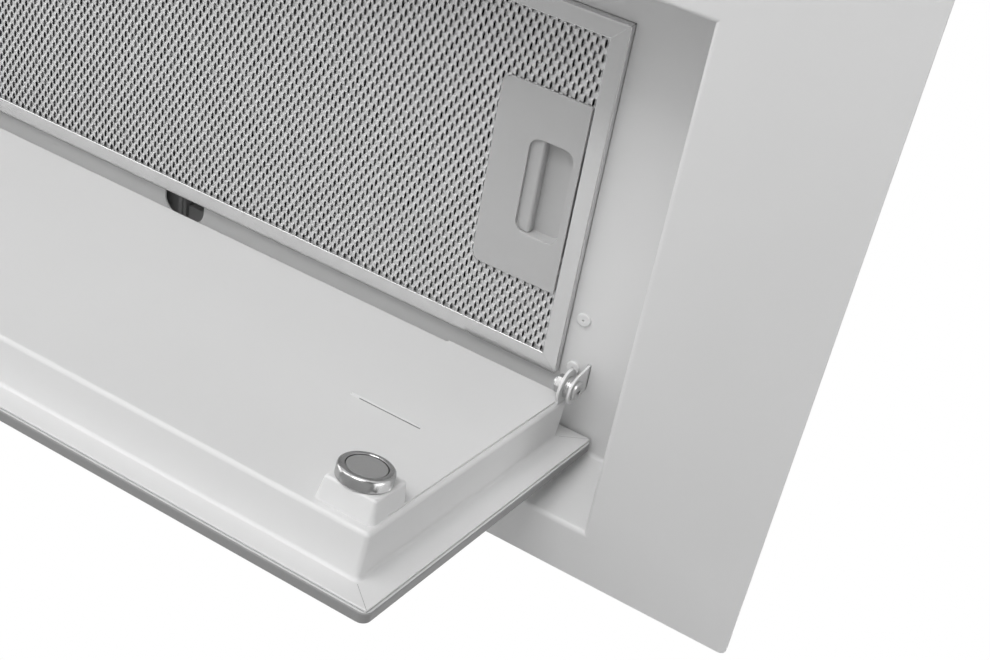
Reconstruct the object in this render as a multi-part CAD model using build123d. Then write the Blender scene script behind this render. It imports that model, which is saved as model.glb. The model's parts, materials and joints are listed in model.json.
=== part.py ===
from build123d import *
import math
import os

# A built-in range hood, hung in the bottom of a wall cabinet, with its glass panel open.
# X runs along the trim plate, to the right for someone who stands at the hob.
# Y runs to the rear, where the panel is hinged, and Z runs up into the cabinet.
# The origin is the middle of the trim plate on its upper face, which meets the cabinet.
# The panel is drawn shut, where its places are simple, and then turned open about its hinge.
# All sizes are in millimetres.

# Grease filter
filter_length = 382.8
filter_depth = 153.1
filter_thickness = 9.0
filter_lip = 7.4
filter_wall = 0.8
filter_hem = 1.6
filter_edge_radius = 0.7
filter_proud = 3.3
filter_gap = 0.5
mesh_sheet = 1.2
mesh_core = 3.1
mesh_gap = 0.05
mesh_side_gap = 0.2
mesh_tub_gap = 0.3

# Steps from the filter out to the plate's edge, along X
tray_past_filter = 9.8
glass_past_tray = 12.0
recess_side_gap = 20.1
side_flange = 66.7

# Steps along Y
axis_before_filter_rear = 2.95
glass_behind_axis = 16.4
swing_gap = 1.185
rear_flange = 23.8
floor_before_filter = 28.8
recess_front_gap = 17.95
front_flange = 52.4

# Steps up Z
plate_sheet = 1.0
glass_inset = 4.6
glass_thickness = 4.0
tape_thickness = 0.3
tray_height = 18.7
axis_above_tray = 6.4
floor_above_axis = 10.8

# Trim plate and recess
plate_corner = 3.0
plate_bend = 2.0
flap_height = 30.0
pan_sheet = 1.0
pan_bend = 2.0
pan_fold = 1.5
pan_lip = 12.0
notch_offset = -2.5
notch_width = 22.0
notch_depth = 12.7
notch_radius = 8.0

# Glass panel and its tray
glass_corner = 3.5
glass_chamfer = 0.4
tray_sheet = 0.8
tray_bend = 1.8
tray_fold = 1.4
tray_flange = 10.9
tape_width = 9.0
stop_gap = 0.43

# Panel brackets and magnets
bracket_sheet = 1.0
bracket_wide = 54.6
bracket_narrow = 23.2
bracket_wide_reach = 73.5
bracket_edge_inset = 1.7
magnet_radius = 10.0
magnet_height = 4.9
magnet_rim = 1.6
magnet_disc_radius = 6.6
magnet_disc_depth = 3.0
magnet_disc_sink = 0.25
magnet_gap = 0.3
magnet_from_filter_front = 15.55
magnet_inset = 3.8
seat_bend = 1.2
seat_corner = 2.5
seat_front = 10.4
seat_rear = 12.5
seat_draft = 10.0

# Hinge
lug_sheet = 1.0
lug_gap = 2.2
lug_half_width = 6.0
panel_lug_sheet = 1.1
panel_lug_radius = 7.4
panel_lug_foot = 5.4
panel_lug_inset = 0.6
hinge_foot_width = 9.2
hinge_foot_front = 32.4
hinge_slot_gap = 0.3
screw_radius = 2.0
pin_clearance = 0.08
face_clearance = 0.05
screw_head_radius = 4.2
screw_head_height = 1.6
screw_slot = 0.9
screw_tip = 1.2
washer_radius = 4.5
washer_edge = 0.2
washer_count = 3
nut_flats = 7.0
nut_height = 3.2
rivet_radius = 1.6
rivet_head_radius = 3.0
rivet_head_height = 1.0
rivet_head_round = 0.7
rivet_bore = 0.5
rivet_bore_depth = 0.9
rivet_tail_radius = 2.3
rivet_tail_height = 2.6
rivet_step_near = 1.75
rivet_step_far = 25.45
rivet_inset = 6.05

# Filter handle and latch
handle_length = 38.2
handle_depth = 82.5
handle_sheet = 1.2
handle_sink = 0.4
handle_corner = 4.0
handle_side_gap = 0.8
cup_length = 18.8
cup_depth = 41.3
cup_sink = 5.5
cup_corner = 4.5
cup_side = 3.2
cup_wall = 1.2
cup_floor = 0.8
latch_bar = 5.9
latch_hidden = 3.2
latch_clearance = 0.2
latch_travel = 4.0
latch_half_width = 6.0
latch_arm = 1.2
latch_bar_round = 1.2
latch_post = 2.0
latch_post_half = 4.0
bolt_length = 9.4
bolt_reach = 4.4
bolt_above_floor = 0.3
bolt_chamfer = 2.4
spring_pocket = 10.5
spring_radius = 1.5
spring_wire = 0.4
spring_turns = 6
tongue_width = 14.0
tongue_reach = 4.4
tongue_sheet = 1.0
tongue_spacing = 60.0

# Lower casing
casing_overhang_side = 22.0
casing_overhang_ends = 14.0
casing_sheet = 0.8
casing_height = 75.0
side_screw_radius = 2.5
side_screw_spacing = 180.0
side_screw_height = 58.0
casing_rivet_height = 8.0
casing_rivet_head = 1.0
rivet_shares_depth = (-0.7, 0.0, 0.7)
rivet_shares_length = (-0.75, -0.3, 0.3, 0.75)

# Blower: impeller, scroll and motor
wheel_radius = 65.0
wheel_half_width = 58.0
wheel_disc = 3.0
wheel_hub_radius = 11.0
wheel_hub_length = 14.0
blade_count = 24
blade_depth = 12.0
blade_sheet = 1.0
blade_lean = 35.0
wheel_ring = 2.0
volute_gap = 5.0
volute_step = 10.0
volute_tongue_angle = 45.0
scroll_wall = 2.0
scroll_side_gap = 4.0
inlet_radius = 52.0
bell_depth = 2.5
scroll_boss_radius = 5.0
scroll_boss_length = 12.0
scroll_top = 2.5
blower_axis_y = -12.0
blower_axis_z = 165.0
shaft_radius = 4.0
motor_radius = 38.0
motor_length = 50.0
motor_wall = 1.5
stator_bore = 24.0
stator_length = 30.0
rotor_air_gap = 0.5
bearing_radius = 8.0
bearing_length = 7.0
shaft_clearance = 0.05
rubber_thickness = 3.0
rubber_radius = 6.0
motor_bracket_sheet = 2.0
motor_bracket_disc = 30.0
motor_bracket_arm = 14.0
bracket_arms = 3
blower_screw_radius = 2.0
blower_screw_head = 3.6
blower_screw_head_height = 2.2

# Motor casing and outlet
motor_casing_half_length = 165.0
motor_casing_half_depth = 115.0
motor_casing_top = 285.0
motor_casing_flange = 15.0
motor_casing_screw_share = 0.6
motor_casing_screw_length = 6.0
small_screw_radius = 1.7
small_screw_head = 3.5
small_screw_head_height = 2.0
small_screw_slot = 1.0
outlet_y = 36.0
outlet_radius = 75.0
outlet_wall = 2.5
outlet_height = 45.0
outlet_base_half = 78.0
outlet_base = 2.5
outlet_hole_gap = 0.5
collar_screw_inset = 8.0
ledge_depth = 3.5
ledge_height = 11.0
ledge_thickness = 2.0
damper_gap = 1.0
damper_sheet = 1.6
damper_barrel = 3.0
damper_pin_radius = 1.5
damper_barrel_half = 58.0
damper_seat_gap = 0.3

# Electrics
capacitor_radius = 17.5
capacitor_length = 54.0
capacitor_y = -75.0
capacitor_z = 110.0
capacitor_stud = 4.0
capacitor_stud_length = 9.0
capacitor_edge = 2.0
box_length = 84.0
box_depth = 120.0
box_height = 38.0
box_wall = 2.0
box_lid = 3.0
box_from_casing = 4.0
box_boss = 4.0
lid_screw_depth = 8.0
lid_screw_reach = 6.0
board_gap = 3.0
board_rise = 6.0
board_sheet = 1.6
relay_width = 14.0
relay_length = 17.0
relay_height = 15.0
transformer_width = 22.0
transformer_length = 26.0
transformer_height = 17.0
condenser_radius = 5.0
condenser_height = 16.0
board_edge = 5.0
terminal_pitch = 8.0
terminal_count = 4
terminal_width = 14.0
terminal_height = 14.0
terminal_bore = 1.8
gland_radius = 9.0
gland_length = 16.0
gland_bore = 4.0
gland_neck = 6.0
gland_edge = 2.5
gland_nut = 5.0
gland_nut_radius = 8.5
driver_width = 36.0
driver_length = 90.0
driver_height = 22.0
driver_edge = 2.0
driver_ear = 8.0
driver_ear_sheet = 2.0

# Lamps and buttons in the front flange
controls_from_recess = 21.4
lamp_centre = 140.0
lamp_length = 110.0
lamp_width = 16.0
lamp_rim = 3.0
lamp_rim_sheet = 1.0
lamp_body = 14.0
lamp_wall = 1.2
lens_sheet = 2.4
lens_sink = 0.4
lens_gap = 0.15
diode_count = 6
diode_size = 3.6
diode_height = 1.0
strip_inset = 2.0
button_spacing = 24.0
button_radius = 6.0
button_collar = 1.2
button_collar_sheet = 1.0
button_proud = 1.5
button_gap = 0.3
button_travel = 2.0
button_stem = 2.0
button_stem_length = 3.5
switch_size = 6.0
switch_height = 1.6
button_box_margin = 10.0
button_box_wall = 1.6
button_box_height = 15.0
button_box_gap = 1.5
button_board_edge = 2.0
button_count = 4

# Places that follow from the sizes above
filter_half = filter_length / 2
tray_half = filter_half + tray_past_filter
glass_half = tray_half + glass_past_tray
recess_half = glass_half + recess_side_gap
plate_half_length = recess_half + side_flange
glass_below_axis = axis_above_tray + tray_height + tape_thickness
rear_corner_swing = math.hypot(glass_behind_axis, glass_below_axis + glass_thickness)
recess_behind_axis = rear_corner_swing + swing_gap
filter_behind_axis = axis_before_filter_rear
plate_depth = (
    front_flange + floor_before_filter + filter_depth - filter_behind_axis + recess_behind_axis + rear_flange
)
plate_half_depth = plate_depth / 2
recess_front = -plate_half_depth + front_flange
recess_rear = plate_half_depth - rear_flange
filter_front = recess_front + floor_before_filter
filter_rear = filter_front + filter_depth
axis_y = filter_rear - filter_behind_axis

glass_low = -plate_sheet + glass_inset
glass_high = glass_low + glass_thickness
tray_low = glass_high + tape_thickness
tray_top = tray_low + tray_height
axis_z = tray_top + axis_above_tray
floor_low = axis_z + floor_above_axis
floor_high = floor_low + pan_sheet
filter_low = floor_low - filter_proud
filter_high = filter_low + filter_thickness

glass_front = recess_front + recess_front_gap
glass_rear = axis_y + glass_behind_axis
tray_front = glass_front + glass_past_tray
tray_rear = glass_rear - glass_past_tray

# The glass panel stops when the inner rear edge of its glass comes up to the recess floor.
stop_radius = math.hypot(glass_behind_axis, glass_below_axis)
open_angle = math.degrees(
    math.atan2(glass_below_axis, glass_behind_axis) + math.asin((floor_above_axis - stop_gap) / stop_radius)
)

casing_half_length = plate_half_length - casing_overhang_side
casing_half_depth = plate_half_depth - casing_overhang_ends
casing_inner_length = casing_half_length - casing_sheet
casing_inner_depth = casing_half_depth - casing_sheet
controls_y = recess_front - controls_from_recess

magnet_x = filter_half - magnet_inset
magnet_y = filter_front + magnet_from_filter_front
magnet_top = filter_low - magnet_gap
seat_top = magnet_top - magnet_height

lug_inside = tray_half + lug_gap
lug_outside = lug_inside + lug_sheet
panel_lug_outside = tray_half - panel_lug_inset
panel_lug_inside = panel_lug_outside - panel_lug_sheet


def both(centre, half):
    """The two limits of a stretch that lies evenly about its centre."""
    return (centre - half, centre + half)


def block(x, y, z):
    """A box between two limits along each direction."""
    middle = Pos((x[0] + x[1]) / 2, (y[0] + y[1]) / 2, (z[0] + z[1]) / 2)
    return middle * Box(x[1] - x[0], y[1] - y[0], z[1] - z[0])


def along_x(radius, x, y, z):
    """A round bar along X between the two limits in x."""
    return Pos((x[0] + x[1]) / 2, y, z) * Rot(0, 90, 0) * Cylinder(radius, x[1] - x[0])


def along_y(radius, x, y, z):
    """A round bar along Y between the two limits in y."""
    return Pos(x, (y[0] + y[1]) / 2, z) * Rot(90, 0, 0) * Cylinder(radius, y[1] - y[0])


def along_z(radius, x, y, z):
    """A round bar along Z between the two limits in z."""
    return Pos(x, y, (z[0] + z[1]) / 2) * Cylinder(radius, z[1] - z[0])


def soft_block(x, y, z, radius):
    """A block whose upright edges and top edges are rounded, as on a folded or drawn tub."""
    solid = block(x, y, z)
    upright = solid.edges().filter_by(Axis.Z)
    top = solid.faces().sort_by(Axis.Z)[-1].edges()
    return fillet(upright + top, radius)


def drawn_tub(x, y, z, corner):
    """A block with round corners whose walls lean inwards as they rise, as a press leaves them."""
    outline = RectangleRounded(x[1] - x[0], y[1] - y[0], corner)
    base = Pos((x[0] + x[1]) / 2, (y[0] + y[1]) / 2, z[0]) * outline
    return extrude(base, z[1] - z[0], taper=seat_draft)


def mirrored(solid):
    """The same piece on the other side of the hood's middle."""
    return mirror(solid, about=Plane.YZ)


def opened(solid):
    """A piece of the panel, drawn shut, turned open about the hinge."""
    return solid.rotate(Axis((0, axis_y, axis_z), (1, 0, 0)), open_angle)


def save(name, *solids):
    """Write one named piece, or one group of like pieces that stay separate solids."""
    pieces = []
    for solid in solids:
        pieces.extend(solid.solids())
    shape = pieces[0] if len(pieces) == 1 else Compound(children=pieces)
    export_step(shape, f"parts/{name}.step")


def plate_flap(length_half, face, outward, swap):
    """One edge of the plate's window, folded up, its ends cut at 45 degrees.

    The face is where the flap's visible side lies, outward is the way to the plate's edge,
    and swap turns the flap from one that runs along X to one that runs along Y.
    """
    flat = face + outward * plate_bend
    back = face + outward * plate_sheet
    fold = -plate_sheet + plate_bend
    with BuildSketch(Plane.YZ) as section:
        with BuildLine():
            Line((flat, -plate_sheet), (flat, 0))
            RadiusArc((flat, 0), (back, fold), (plate_bend - plate_sheet) * outward)
            Line((back, fold), (back, flap_height))
            Line((back, flap_height), (face, flap_height))
            Line((face, flap_height), (face, fold))
            RadiusArc((face, fold), (flat, -plate_sheet), -plate_bend * outward)
        make_face()
    strip = extrude(section.sketch, length_half + plate_bend, both=True)
    ends = length_half + plate_bend
    with BuildSketch() as plan:
        with BuildLine():
            Polyline((-ends, flat), (ends, flat), (ends - abs(flat - face), face),
                     (-ends + abs(flat - face), face), close=True)
        make_face()
    strip = strip & extrude(plan.sketch, 2 * flap_height, both=True)
    rise = flap_height - fold
    with BuildSketch(Plane.XZ) as elevation:
        with BuildLine():
            Polyline((-ends, -plate_sheet), (ends, -plate_sheet), (ends, fold), (length_half, fold),
                     (length_half - rise, flap_height), (rise - length_half, flap_height),
                     (-length_half, fold), (-ends, fold), close=True)
        make_face()
    strip = strip & extrude(elevation.sketch, 2 * plate_half_length, both=True)
    if swap:
        strip = strip.rotate(Axis.Z, -90)
    return strip


def trim_plate():
    """The painted sheet that shows below the cabinet, its window's edges folded up."""
    outline = RectangleRounded(2 * plate_half_length, 2 * plate_half_depth, plate_corner)
    sheet = Pos(0, 0, -plate_sheet) * extrude(outline, plate_sheet)
    window_x = recess_half + plate_bend
    window_y = (recess_front - plate_bend, recess_rear + plate_bend)
    sheet -= block((-window_x, window_x), window_y, (-2 * plate_sheet, plate_sheet))
    middle = (recess_front + recess_rear) / 2
    half = (recess_rear - recess_front) / 2
    sheet += Pos(0, middle, 0) * plate_flap(recess_half, half, 1, False)
    sheet += Pos(0, middle, 0) * plate_flap(recess_half, -half, -1, False)
    sheet += Pos(0, middle, 0) * plate_flap(half, recess_half, 1, True)
    sheet += Pos(0, middle, 0) * plate_flap(half, -recess_half, -1, True)
    for x in (-lamp_centre, lamp_centre):
        sheet -= lamp_hole(x)
    for x in button_places():
        sheet -= button_hole(x)
    return sheet


def lamp_hole(x):
    """The long hole that one lamp's body goes through, in plate and pan."""
    half_length = lamp_length / 2 + lamp_wall + lens_gap
    half_width = lamp_width / 2 + lamp_wall + lens_gap
    return block(both(x, half_length), both(controls_y, half_width), (-2 * plate_sheet, 2 * pan_sheet))


def button_places():
    """Where the four buttons stand along X."""
    return [(index - (button_count - 1) / 2) * button_spacing for index in range(button_count)]


def button_hole(x):
    """The round hole that one button moves in."""
    return along_z(button_radius + button_gap, x, controls_y, (-2 * plate_sheet, 2 * pan_sheet))


def recess_pan():
    """The tub above the plate's window: walls, floor with the filter's opening, and a foot all round."""
    wall_x = recess_half + plate_sheet
    wall_y = (recess_front - plate_sheet, recess_rear + plate_sheet)
    outside_y = (wall_y[0] - pan_sheet, wall_y[1] + pan_sheet)
    outside_x = wall_x + pan_sheet
    tub = soft_block((-outside_x, outside_x), outside_y, (0, floor_high), pan_bend + pan_sheet)
    foot = block((-casing_inner_length, casing_inner_length), (-casing_inner_depth, casing_inner_depth),
                 (0, pan_lip))
    inside = (casing_inner_length - pan_sheet, casing_inner_depth - pan_sheet)
    foot -= block((-inside[0], inside[0]), (-inside[1], inside[1]), (pan_sheet, 2 * pan_lip))
    pan = foot + tub
    pan -= soft_block((-wall_x, wall_x), wall_y, (-floor_high, floor_low), pan_bend)
    mouth = [
        edge
        for edge in pan.edges().filter_by_position(Axis.Z, -0.01, 0.01)
        if abs(edge.center().X) < outside_x and wall_y[0] - 0.5 < edge.center().Y < wall_y[1] + 0.5
    ]
    pan = fillet(mouth, pan_fold)
    opening_x = filter_half + filter_gap
    opening_y = (filter_front - filter_gap, filter_rear + filter_gap)
    through = (floor_low - pan_sheet, floor_high + pan_sheet)
    pan -= block((-opening_x, opening_x), opening_y, through)
    notch = block(both(notch_offset, notch_width / 2), (filter_rear, opening_y[1] + notch_depth), through)
    far_edges = notch.edges().filter_by(Axis.Z).sort_by(Axis.Y)[-2:]
    pan -= fillet(far_edges, notch_radius)
    for side in (-1, 1):
        slot_x = sorted((side * (lug_inside - hinge_slot_gap), side * (lug_outside + hinge_slot_gap)))
        pan -= block(slot_x, both(axis_y, lug_half_width + hinge_slot_gap), through)
        for y in rivet_places():
            pan -= along_z(rivet_radius, side * (lug_inside - rivet_inset), y, through)
    for x in (-lamp_centre, lamp_centre):
        pan -= lamp_hole(x)
    for x in button_places():
        pan -= button_hole(x)
    return pan - casing_rivet_holes()


def rivet_places():
    """Where the two hinge rivets stand along Y, in front of the hinge axis."""
    return [axis_y - rivet_step_near, axis_y - rivet_step_far]


def casing_rivet_places():
    """Where the rivets round the foot stand, as a place and the way that each head faces."""
    places = []
    for side in (-1, 1):
        for share in rivet_shares_depth:
            places.append((side * casing_half_length, share * casing_half_depth, side, 0))
        for share in rivet_shares_length:
            places.append((share * casing_half_length, side * casing_half_depth, 0, side))
    return places


def casing_rivet_holes():
    """The holes for those rivets, through the casing and the pan's lip."""
    depth = 2 * (casing_sheet + pan_sheet)
    holes = []
    for x, y, across, along in casing_rivet_places():
        if across:
            holes.append(along_x(rivet_radius, both(x, depth), y, casing_rivet_height))
        else:
            holes.append(along_y(rivet_radius, x, both(y, depth), casing_rivet_height))
    return Compound(children=holes)


def casing_rivets():
    """Low rivets that hold the casing's walls to the pan's lip."""
    rivets = []
    stack = casing_sheet + pan_sheet
    for x, y, across, along in casing_rivet_places():
        if across:
            shank = along_x(rivet_radius, sorted((x, x - across * stack)), y, casing_rivet_height)
            head_x = sorted((x, x + across * casing_rivet_head))
            head = along_x(rivet_head_radius, head_x, y, casing_rivet_height)
            tail_x = sorted((x - across * stack, x - across * (stack + rivet_tail_height)))
            tail = along_x(rivet_tail_radius, tail_x, y, casing_rivet_height)
        else:
            shank = along_y(rivet_radius, x, sorted((y, y - along * stack)), casing_rivet_height)
            head_y = sorted((y, y + along * casing_rivet_head))
            head = along_y(rivet_head_radius, x, head_y, casing_rivet_height)
            tail_y = sorted((y - along * stack, y - along * (stack + rivet_tail_height)))
            tail = along_y(rivet_tail_radius, x, tail_y, casing_rivet_height)
        rivets.append(shank + head + tail)
    return rivets


def motor_casing_opening():
    """The hole in the lower casing's top, under the motor casing."""
    half_x = motor_casing_half_length - motor_casing_flange
    half_y = motor_casing_half_depth - motor_casing_flange
    return block((-half_x, half_x), (-half_y, half_y), both(casing_height, 2 * casing_sheet))


def base_casing():
    """The low steel box that stands on the pan's foot and takes the cabinet's screws."""
    casing = block((-casing_half_length, casing_half_length), (-casing_half_depth, casing_half_depth),
                   (0, casing_height))
    casing -= block((-casing_inner_length, casing_inner_length), (-casing_inner_depth, casing_inner_depth),
                    (-casing_sheet, casing_height - casing_sheet))
    casing -= motor_casing_opening()
    for side in (-1, 1):
        for end in (-1, 1):
            wall = both(side * casing_half_length, 2 * casing_sheet)
            casing -= along_x(side_screw_radius, wall, end * side_screw_spacing / 2, side_screw_height)
    for x, y in motor_casing_screw_places():
        casing -= along_z(small_screw_radius, x, y, both(casing_height, 2 * casing_sheet))
    casing -= lead_hole()
    return casing - casing_rivet_holes()


def motor_casing_screw_places():
    """Where the screws stand that hold the motor casing to the lower casing."""
    x = motor_casing_half_length + motor_casing_flange / 2
    y = motor_casing_half_depth + motor_casing_flange / 2
    across = motor_casing_screw_share * motor_casing_half_depth
    along = motor_casing_screw_share * motor_casing_half_length
    places = [(side * x, end * across) for side in (-1, 1) for end in (-1, 1)]
    return places + [(end * along, side * y) for side in (-1, 1) for end in (-1, 1)]


def motor_casing():
    """The tall steel box round the blower, with a foot that lies on the lower casing."""
    x = motor_casing_half_length
    y = motor_casing_half_depth
    foot_x = x + motor_casing_flange
    foot_y = y + motor_casing_flange
    casing = block((-x, x), (-y, y), (casing_height, motor_casing_top))
    casing += block((-foot_x, foot_x), (-foot_y, foot_y), (casing_height, casing_height + casing_sheet))
    casing -= block(both(0, x - casing_sheet), both(0, y - casing_sheet),
                    (casing_height - casing_sheet, motor_casing_top - casing_sheet))
    top = both(motor_casing_top, 2 * casing_sheet)
    casing -= along_z(outlet_radius - outlet_wall, 0, outlet_y, top)
    for place_x, place_y in collar_screw_places():
        casing -= along_z(small_screw_radius, place_x, place_y, top)
    for place_x, place_y in motor_casing_screw_places():
        casing -= along_z(small_screw_radius, place_x, place_y, both(casing_height, 2 * casing_sheet))
    casing -= along_x(capacitor_stud, both(-x, 2 * casing_sheet), capacitor_y, capacitor_z)
    return casing


def small_screw(x, y, seat, length):
    """A pan-head screw that stands on its seat and reaches down by its length."""
    shank = along_z(small_screw_radius, x, y, (seat - length, seat))
    head = along_z(small_screw_head, x, y, (seat, seat + small_screw_head_height))
    head = fillet(head.edges().group_by(Axis.Z)[-1], small_screw_head_height / 3)
    slot = block(both(x, small_screw_head / 2), both(y, small_screw_slot / 2),
                 both(seat + small_screw_head_height, small_screw_slot))
    return shank + head - slot - slot.rotate(Axis((x, y, 0), (0, 0, 1)), 90)


def motor_casing_screws():
    """Screws down through the motor casing's foot."""
    seat = casing_height + casing_sheet
    return [small_screw(x, y, seat, motor_casing_screw_length) for x, y in motor_casing_screw_places()]


def collar_screw_places():
    """The four corners where the outlet collar is screwed down."""
    reach = outlet_base_half - collar_screw_inset
    return [(side * reach, outlet_y + end * reach) for side in (-1, 1) for end in (-1, 1)]


def collar_screws():
    """Screws through the collar's base and the casing's top into the scroll's top."""
    seat = motor_casing_top + outlet_base
    length = outlet_base + casing_sheet + scroll_top
    return [small_screw(x, y, seat, length) for x, y in collar_screw_places()]


damper_axis_z = motor_casing_top + ledge_height + ledge_thickness + damper_barrel + damper_seat_gap
damper_axes = (outlet_y - damper_barrel - damper_gap / 2, outlet_y + damper_barrel + damper_gap / 2)


def outlet_collar():
    """The plastic spigot for the duct, with the ledge that its two damper flaps shut on."""
    top = motor_casing_top + outlet_height
    inner = outlet_radius - outlet_wall
    collar = block(both(0, outlet_base_half), both(outlet_y, outlet_base_half),
                   (motor_casing_top, motor_casing_top + outlet_base))
    collar = fillet(collar.edges().filter_by(Axis.Z), 2 * plate_corner)
    collar += along_z(outlet_radius, 0, outlet_y, (motor_casing_top, top))
    collar -= along_z(inner, 0, outlet_y, (motor_casing_top - 1, top + 1))
    ledge_z = (motor_casing_top + ledge_height, motor_casing_top + ledge_height + ledge_thickness)
    ledge = along_z(inner + outlet_wall / 2, 0, outlet_y, ledge_z)
    ledge -= along_z(inner - ledge_depth, 0, outlet_y, both(ledge_z[0], 2 * ledge_thickness))
    collar += ledge
    for y in damper_axes:
        collar -= along_x(damper_pin_radius, both(0, outlet_radius), y, damper_axis_z)
    for x, y in collar_screw_places():
        collar -= along_z(small_screw_radius, x, y, both(motor_casing_top, 2 * outlet_base))
    return collar


def damper_pins():
    """Two steel pins across the collar that the flaps turn on."""
    reach = outlet_radius - outlet_wall / 2
    return [along_x(damper_pin_radius, both(0, reach), y, damper_axis_z) for y in damper_axes]


def damper_flap(y, way):
    """One half-round flap that hangs shut on the ledge and lifts in the air stream."""
    radius = outlet_radius - outlet_wall - damper_gap
    low = damper_axis_z - damper_barrel
    disc = along_z(radius, 0, outlet_y, (low, low + damper_sheet))
    keep = sorted((y, y + way * 2 * radius))
    disc = disc & block((-radius, radius), keep, both(low, 2 * damper_sheet))
    flap = disc + along_x(damper_barrel, both(0, damper_barrel_half), y, damper_axis_z)
    beside = both(y, damper_barrel + damper_gap)
    flap -= block((-radius, -damper_barrel_half), beside, both(low, 4 * damper_sheet))
    flap -= block((damper_barrel_half, radius), beside, both(low, 4 * damper_sheet))
    return flap - along_x(damper_pin_radius + shaft_clearance, both(0, radius), y, damper_axis_z)


def volute(top):
    """The air space of the scroll: quarter arcs that grow by one step each, and the straight outlet."""
    y = blower_axis_y
    z = blower_axis_z
    half = volute_step / 2
    radius = wheel_radius + volute_gap
    start = math.radians(volute_tongue_angle)
    tongue = (y - half + radius * math.cos(start), z + half + radius * math.sin(start))
    with BuildSketch(Plane.YZ) as space:
        with BuildLine():
            CenterArc((y - half, z + half), radius, volute_tongue_angle, 90 - volute_tongue_angle)
            CenterArc((y - half, z - half), radius + volute_step, 90, 90)
            CenterArc((y + half, z - half), radius + 2 * volute_step, 180, 90)
            CenterArc((y + half, z + half), radius + 3 * volute_step, 270, 90)
            outer = y + half + radius + 3 * volute_step
            Line((outer, z + half), (outer, top))
            Line((outer, top), (tongue[0], top))
            Line((tongue[0], top), tongue)
        make_face()
    return space.sketch


def scroll_boss_places():
    """Where the scroll's screws stand round the volute."""
    reach = wheel_radius + volute_gap + 3 * volute_step + scroll_wall + scroll_boss_radius - 1
    near = wheel_radius + volute_gap + volute_step + scroll_wall + scroll_boss_radius - 1
    y = blower_axis_y
    z = blower_axis_z
    half = volute_step / 2
    return [
        (y - half, z - half + near),
        (y - half - near, z - half),
        (y + half, z + half - reach),
        (y + half + reach, z + half),
    ]


def scroll_right():
    """The right half of the blower's scroll, with the inlet that the motor hangs in."""
    inside = wheel_half_width + scroll_side_gap
    outside = inside + scroll_wall
    roof = motor_casing_top - casing_sheet
    air = volute(roof + 4 * scroll_wall)
    shell = offset(air, scroll_wall, kind=Kind.INTERSECTION)
    half = extrude(shell, outside)
    half -= extrude(air, inside)
    half -= along_x(inlet_radius, (inside - 1, outside + 1), blower_axis_y, blower_axis_z)
    bell = along_x(inlet_radius + scroll_wall, (inside - bell_depth, inside), blower_axis_y, blower_axis_z)
    bell -= along_x(inlet_radius, (inside - 2 * bell_depth, outside), blower_axis_y, blower_axis_z)
    half += bell
    half -= block((-1, outside + 1), both(0, 2 * outlet_radius), (roof, roof + outlet_radius))
    plate = block((0, outlet_base_half), both(outlet_y, outlet_base_half), (roof - scroll_top, roof))
    plate -= block((-1, inside), volute_throat(), (roof - 2 * scroll_top, roof + 1))
    half += plate
    for y, z in scroll_boss_places():
        half += along_x(scroll_boss_radius, (0, scroll_boss_length), y, z) - extrude(shell, outside)
    for y, z in scroll_boss_places():
        half -= along_x(blower_screw_radius, (-1, scroll_boss_length + 1), y, z)
    for y, z in bracket_screw_places():
        half -= along_x(blower_screw_radius, (inside - 1, outside + 1), y, z)
    for x, y in collar_screw_places():
        half -= along_z(small_screw_radius, x, y, both(roof, 2 * scroll_top))
    return half


def volute_throat():
    """The two limits along Y of the scroll's straight outlet."""
    half = volute_step / 2
    radius = wheel_radius + volute_gap
    start = math.radians(volute_tongue_angle)
    return (
        blower_axis_y - half + radius * math.cos(start),
        blower_axis_y + half + radius + 3 * volute_step,
    )


def bracket_screw_places():
    """Where the motor bracket's arms are screwed to the scroll."""
    radius = inlet_radius + rubber_radius + 1
    places = []
    for index in range(bracket_arms):
        angle = math.radians(90 + 360 / bracket_arms * index)
        places.append((blower_axis_y + radius * math.cos(angle), blower_axis_z + radius * math.sin(angle)))
    return places


scroll_outside = wheel_half_width + scroll_side_gap + scroll_wall
motor_end = scroll_outside + rubber_thickness
motor_start = motor_end - motor_length
motor_middle = (motor_start + motor_end) / 2


def impeller_wheel():
    """The double drum of forward-leaning blades on one middle disc."""
    y = blower_axis_y
    z = blower_axis_z
    disc = along_x(wheel_radius, both(0, wheel_disc / 2), y, z)
    hub = along_x(wheel_hub_radius, (-wheel_hub_length, wheel_disc / 2), y, z)
    blade = block((-wheel_half_width, wheel_half_width), both(0, blade_depth / 2), both(0, blade_sheet / 2))
    blade = blade.rotate(Axis.X, blade_lean)
    rim_radius = wheel_radius - blade_depth / 2
    blades = []
    for index in range(blade_count):
        placed = Pos(0, rim_radius, 0) * blade
        blades.append(Pos(0, y, z) * placed.rotate(Axis.X, 360 / blade_count * index))
    wheel = (disc + hub).fuse(*[piece for blade in blades for piece in blade.solids()])
    for side in (-1, 1):
        rim = sorted((side * (wheel_half_width - wheel_ring), side * wheel_half_width))
        ring = along_x(wheel_radius, rim, y, z)
        wheel += ring - along_x(wheel_radius - blade_depth / 2, rim, y, z)
    return wheel - along_x(shaft_radius, (-2 * wheel_hub_length, wheel_hub_length), y, z)


def motor_shaft():
    """The shaft that carries the wheel and the motor's rotor."""
    return along_x(shaft_radius, (-wheel_hub_length, motor_end - motor_wall), blower_axis_y, blower_axis_z)


def motor_rotor():
    """The motor's rotor, pressed on the shaft."""
    radius = stator_bore - rotor_air_gap
    rotor = along_x(radius, both(motor_middle, stator_length / 2), blower_axis_y, blower_axis_z)
    return rotor - along_x(shaft_radius, both(motor_middle, stator_length), blower_axis_y, blower_axis_z)


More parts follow.
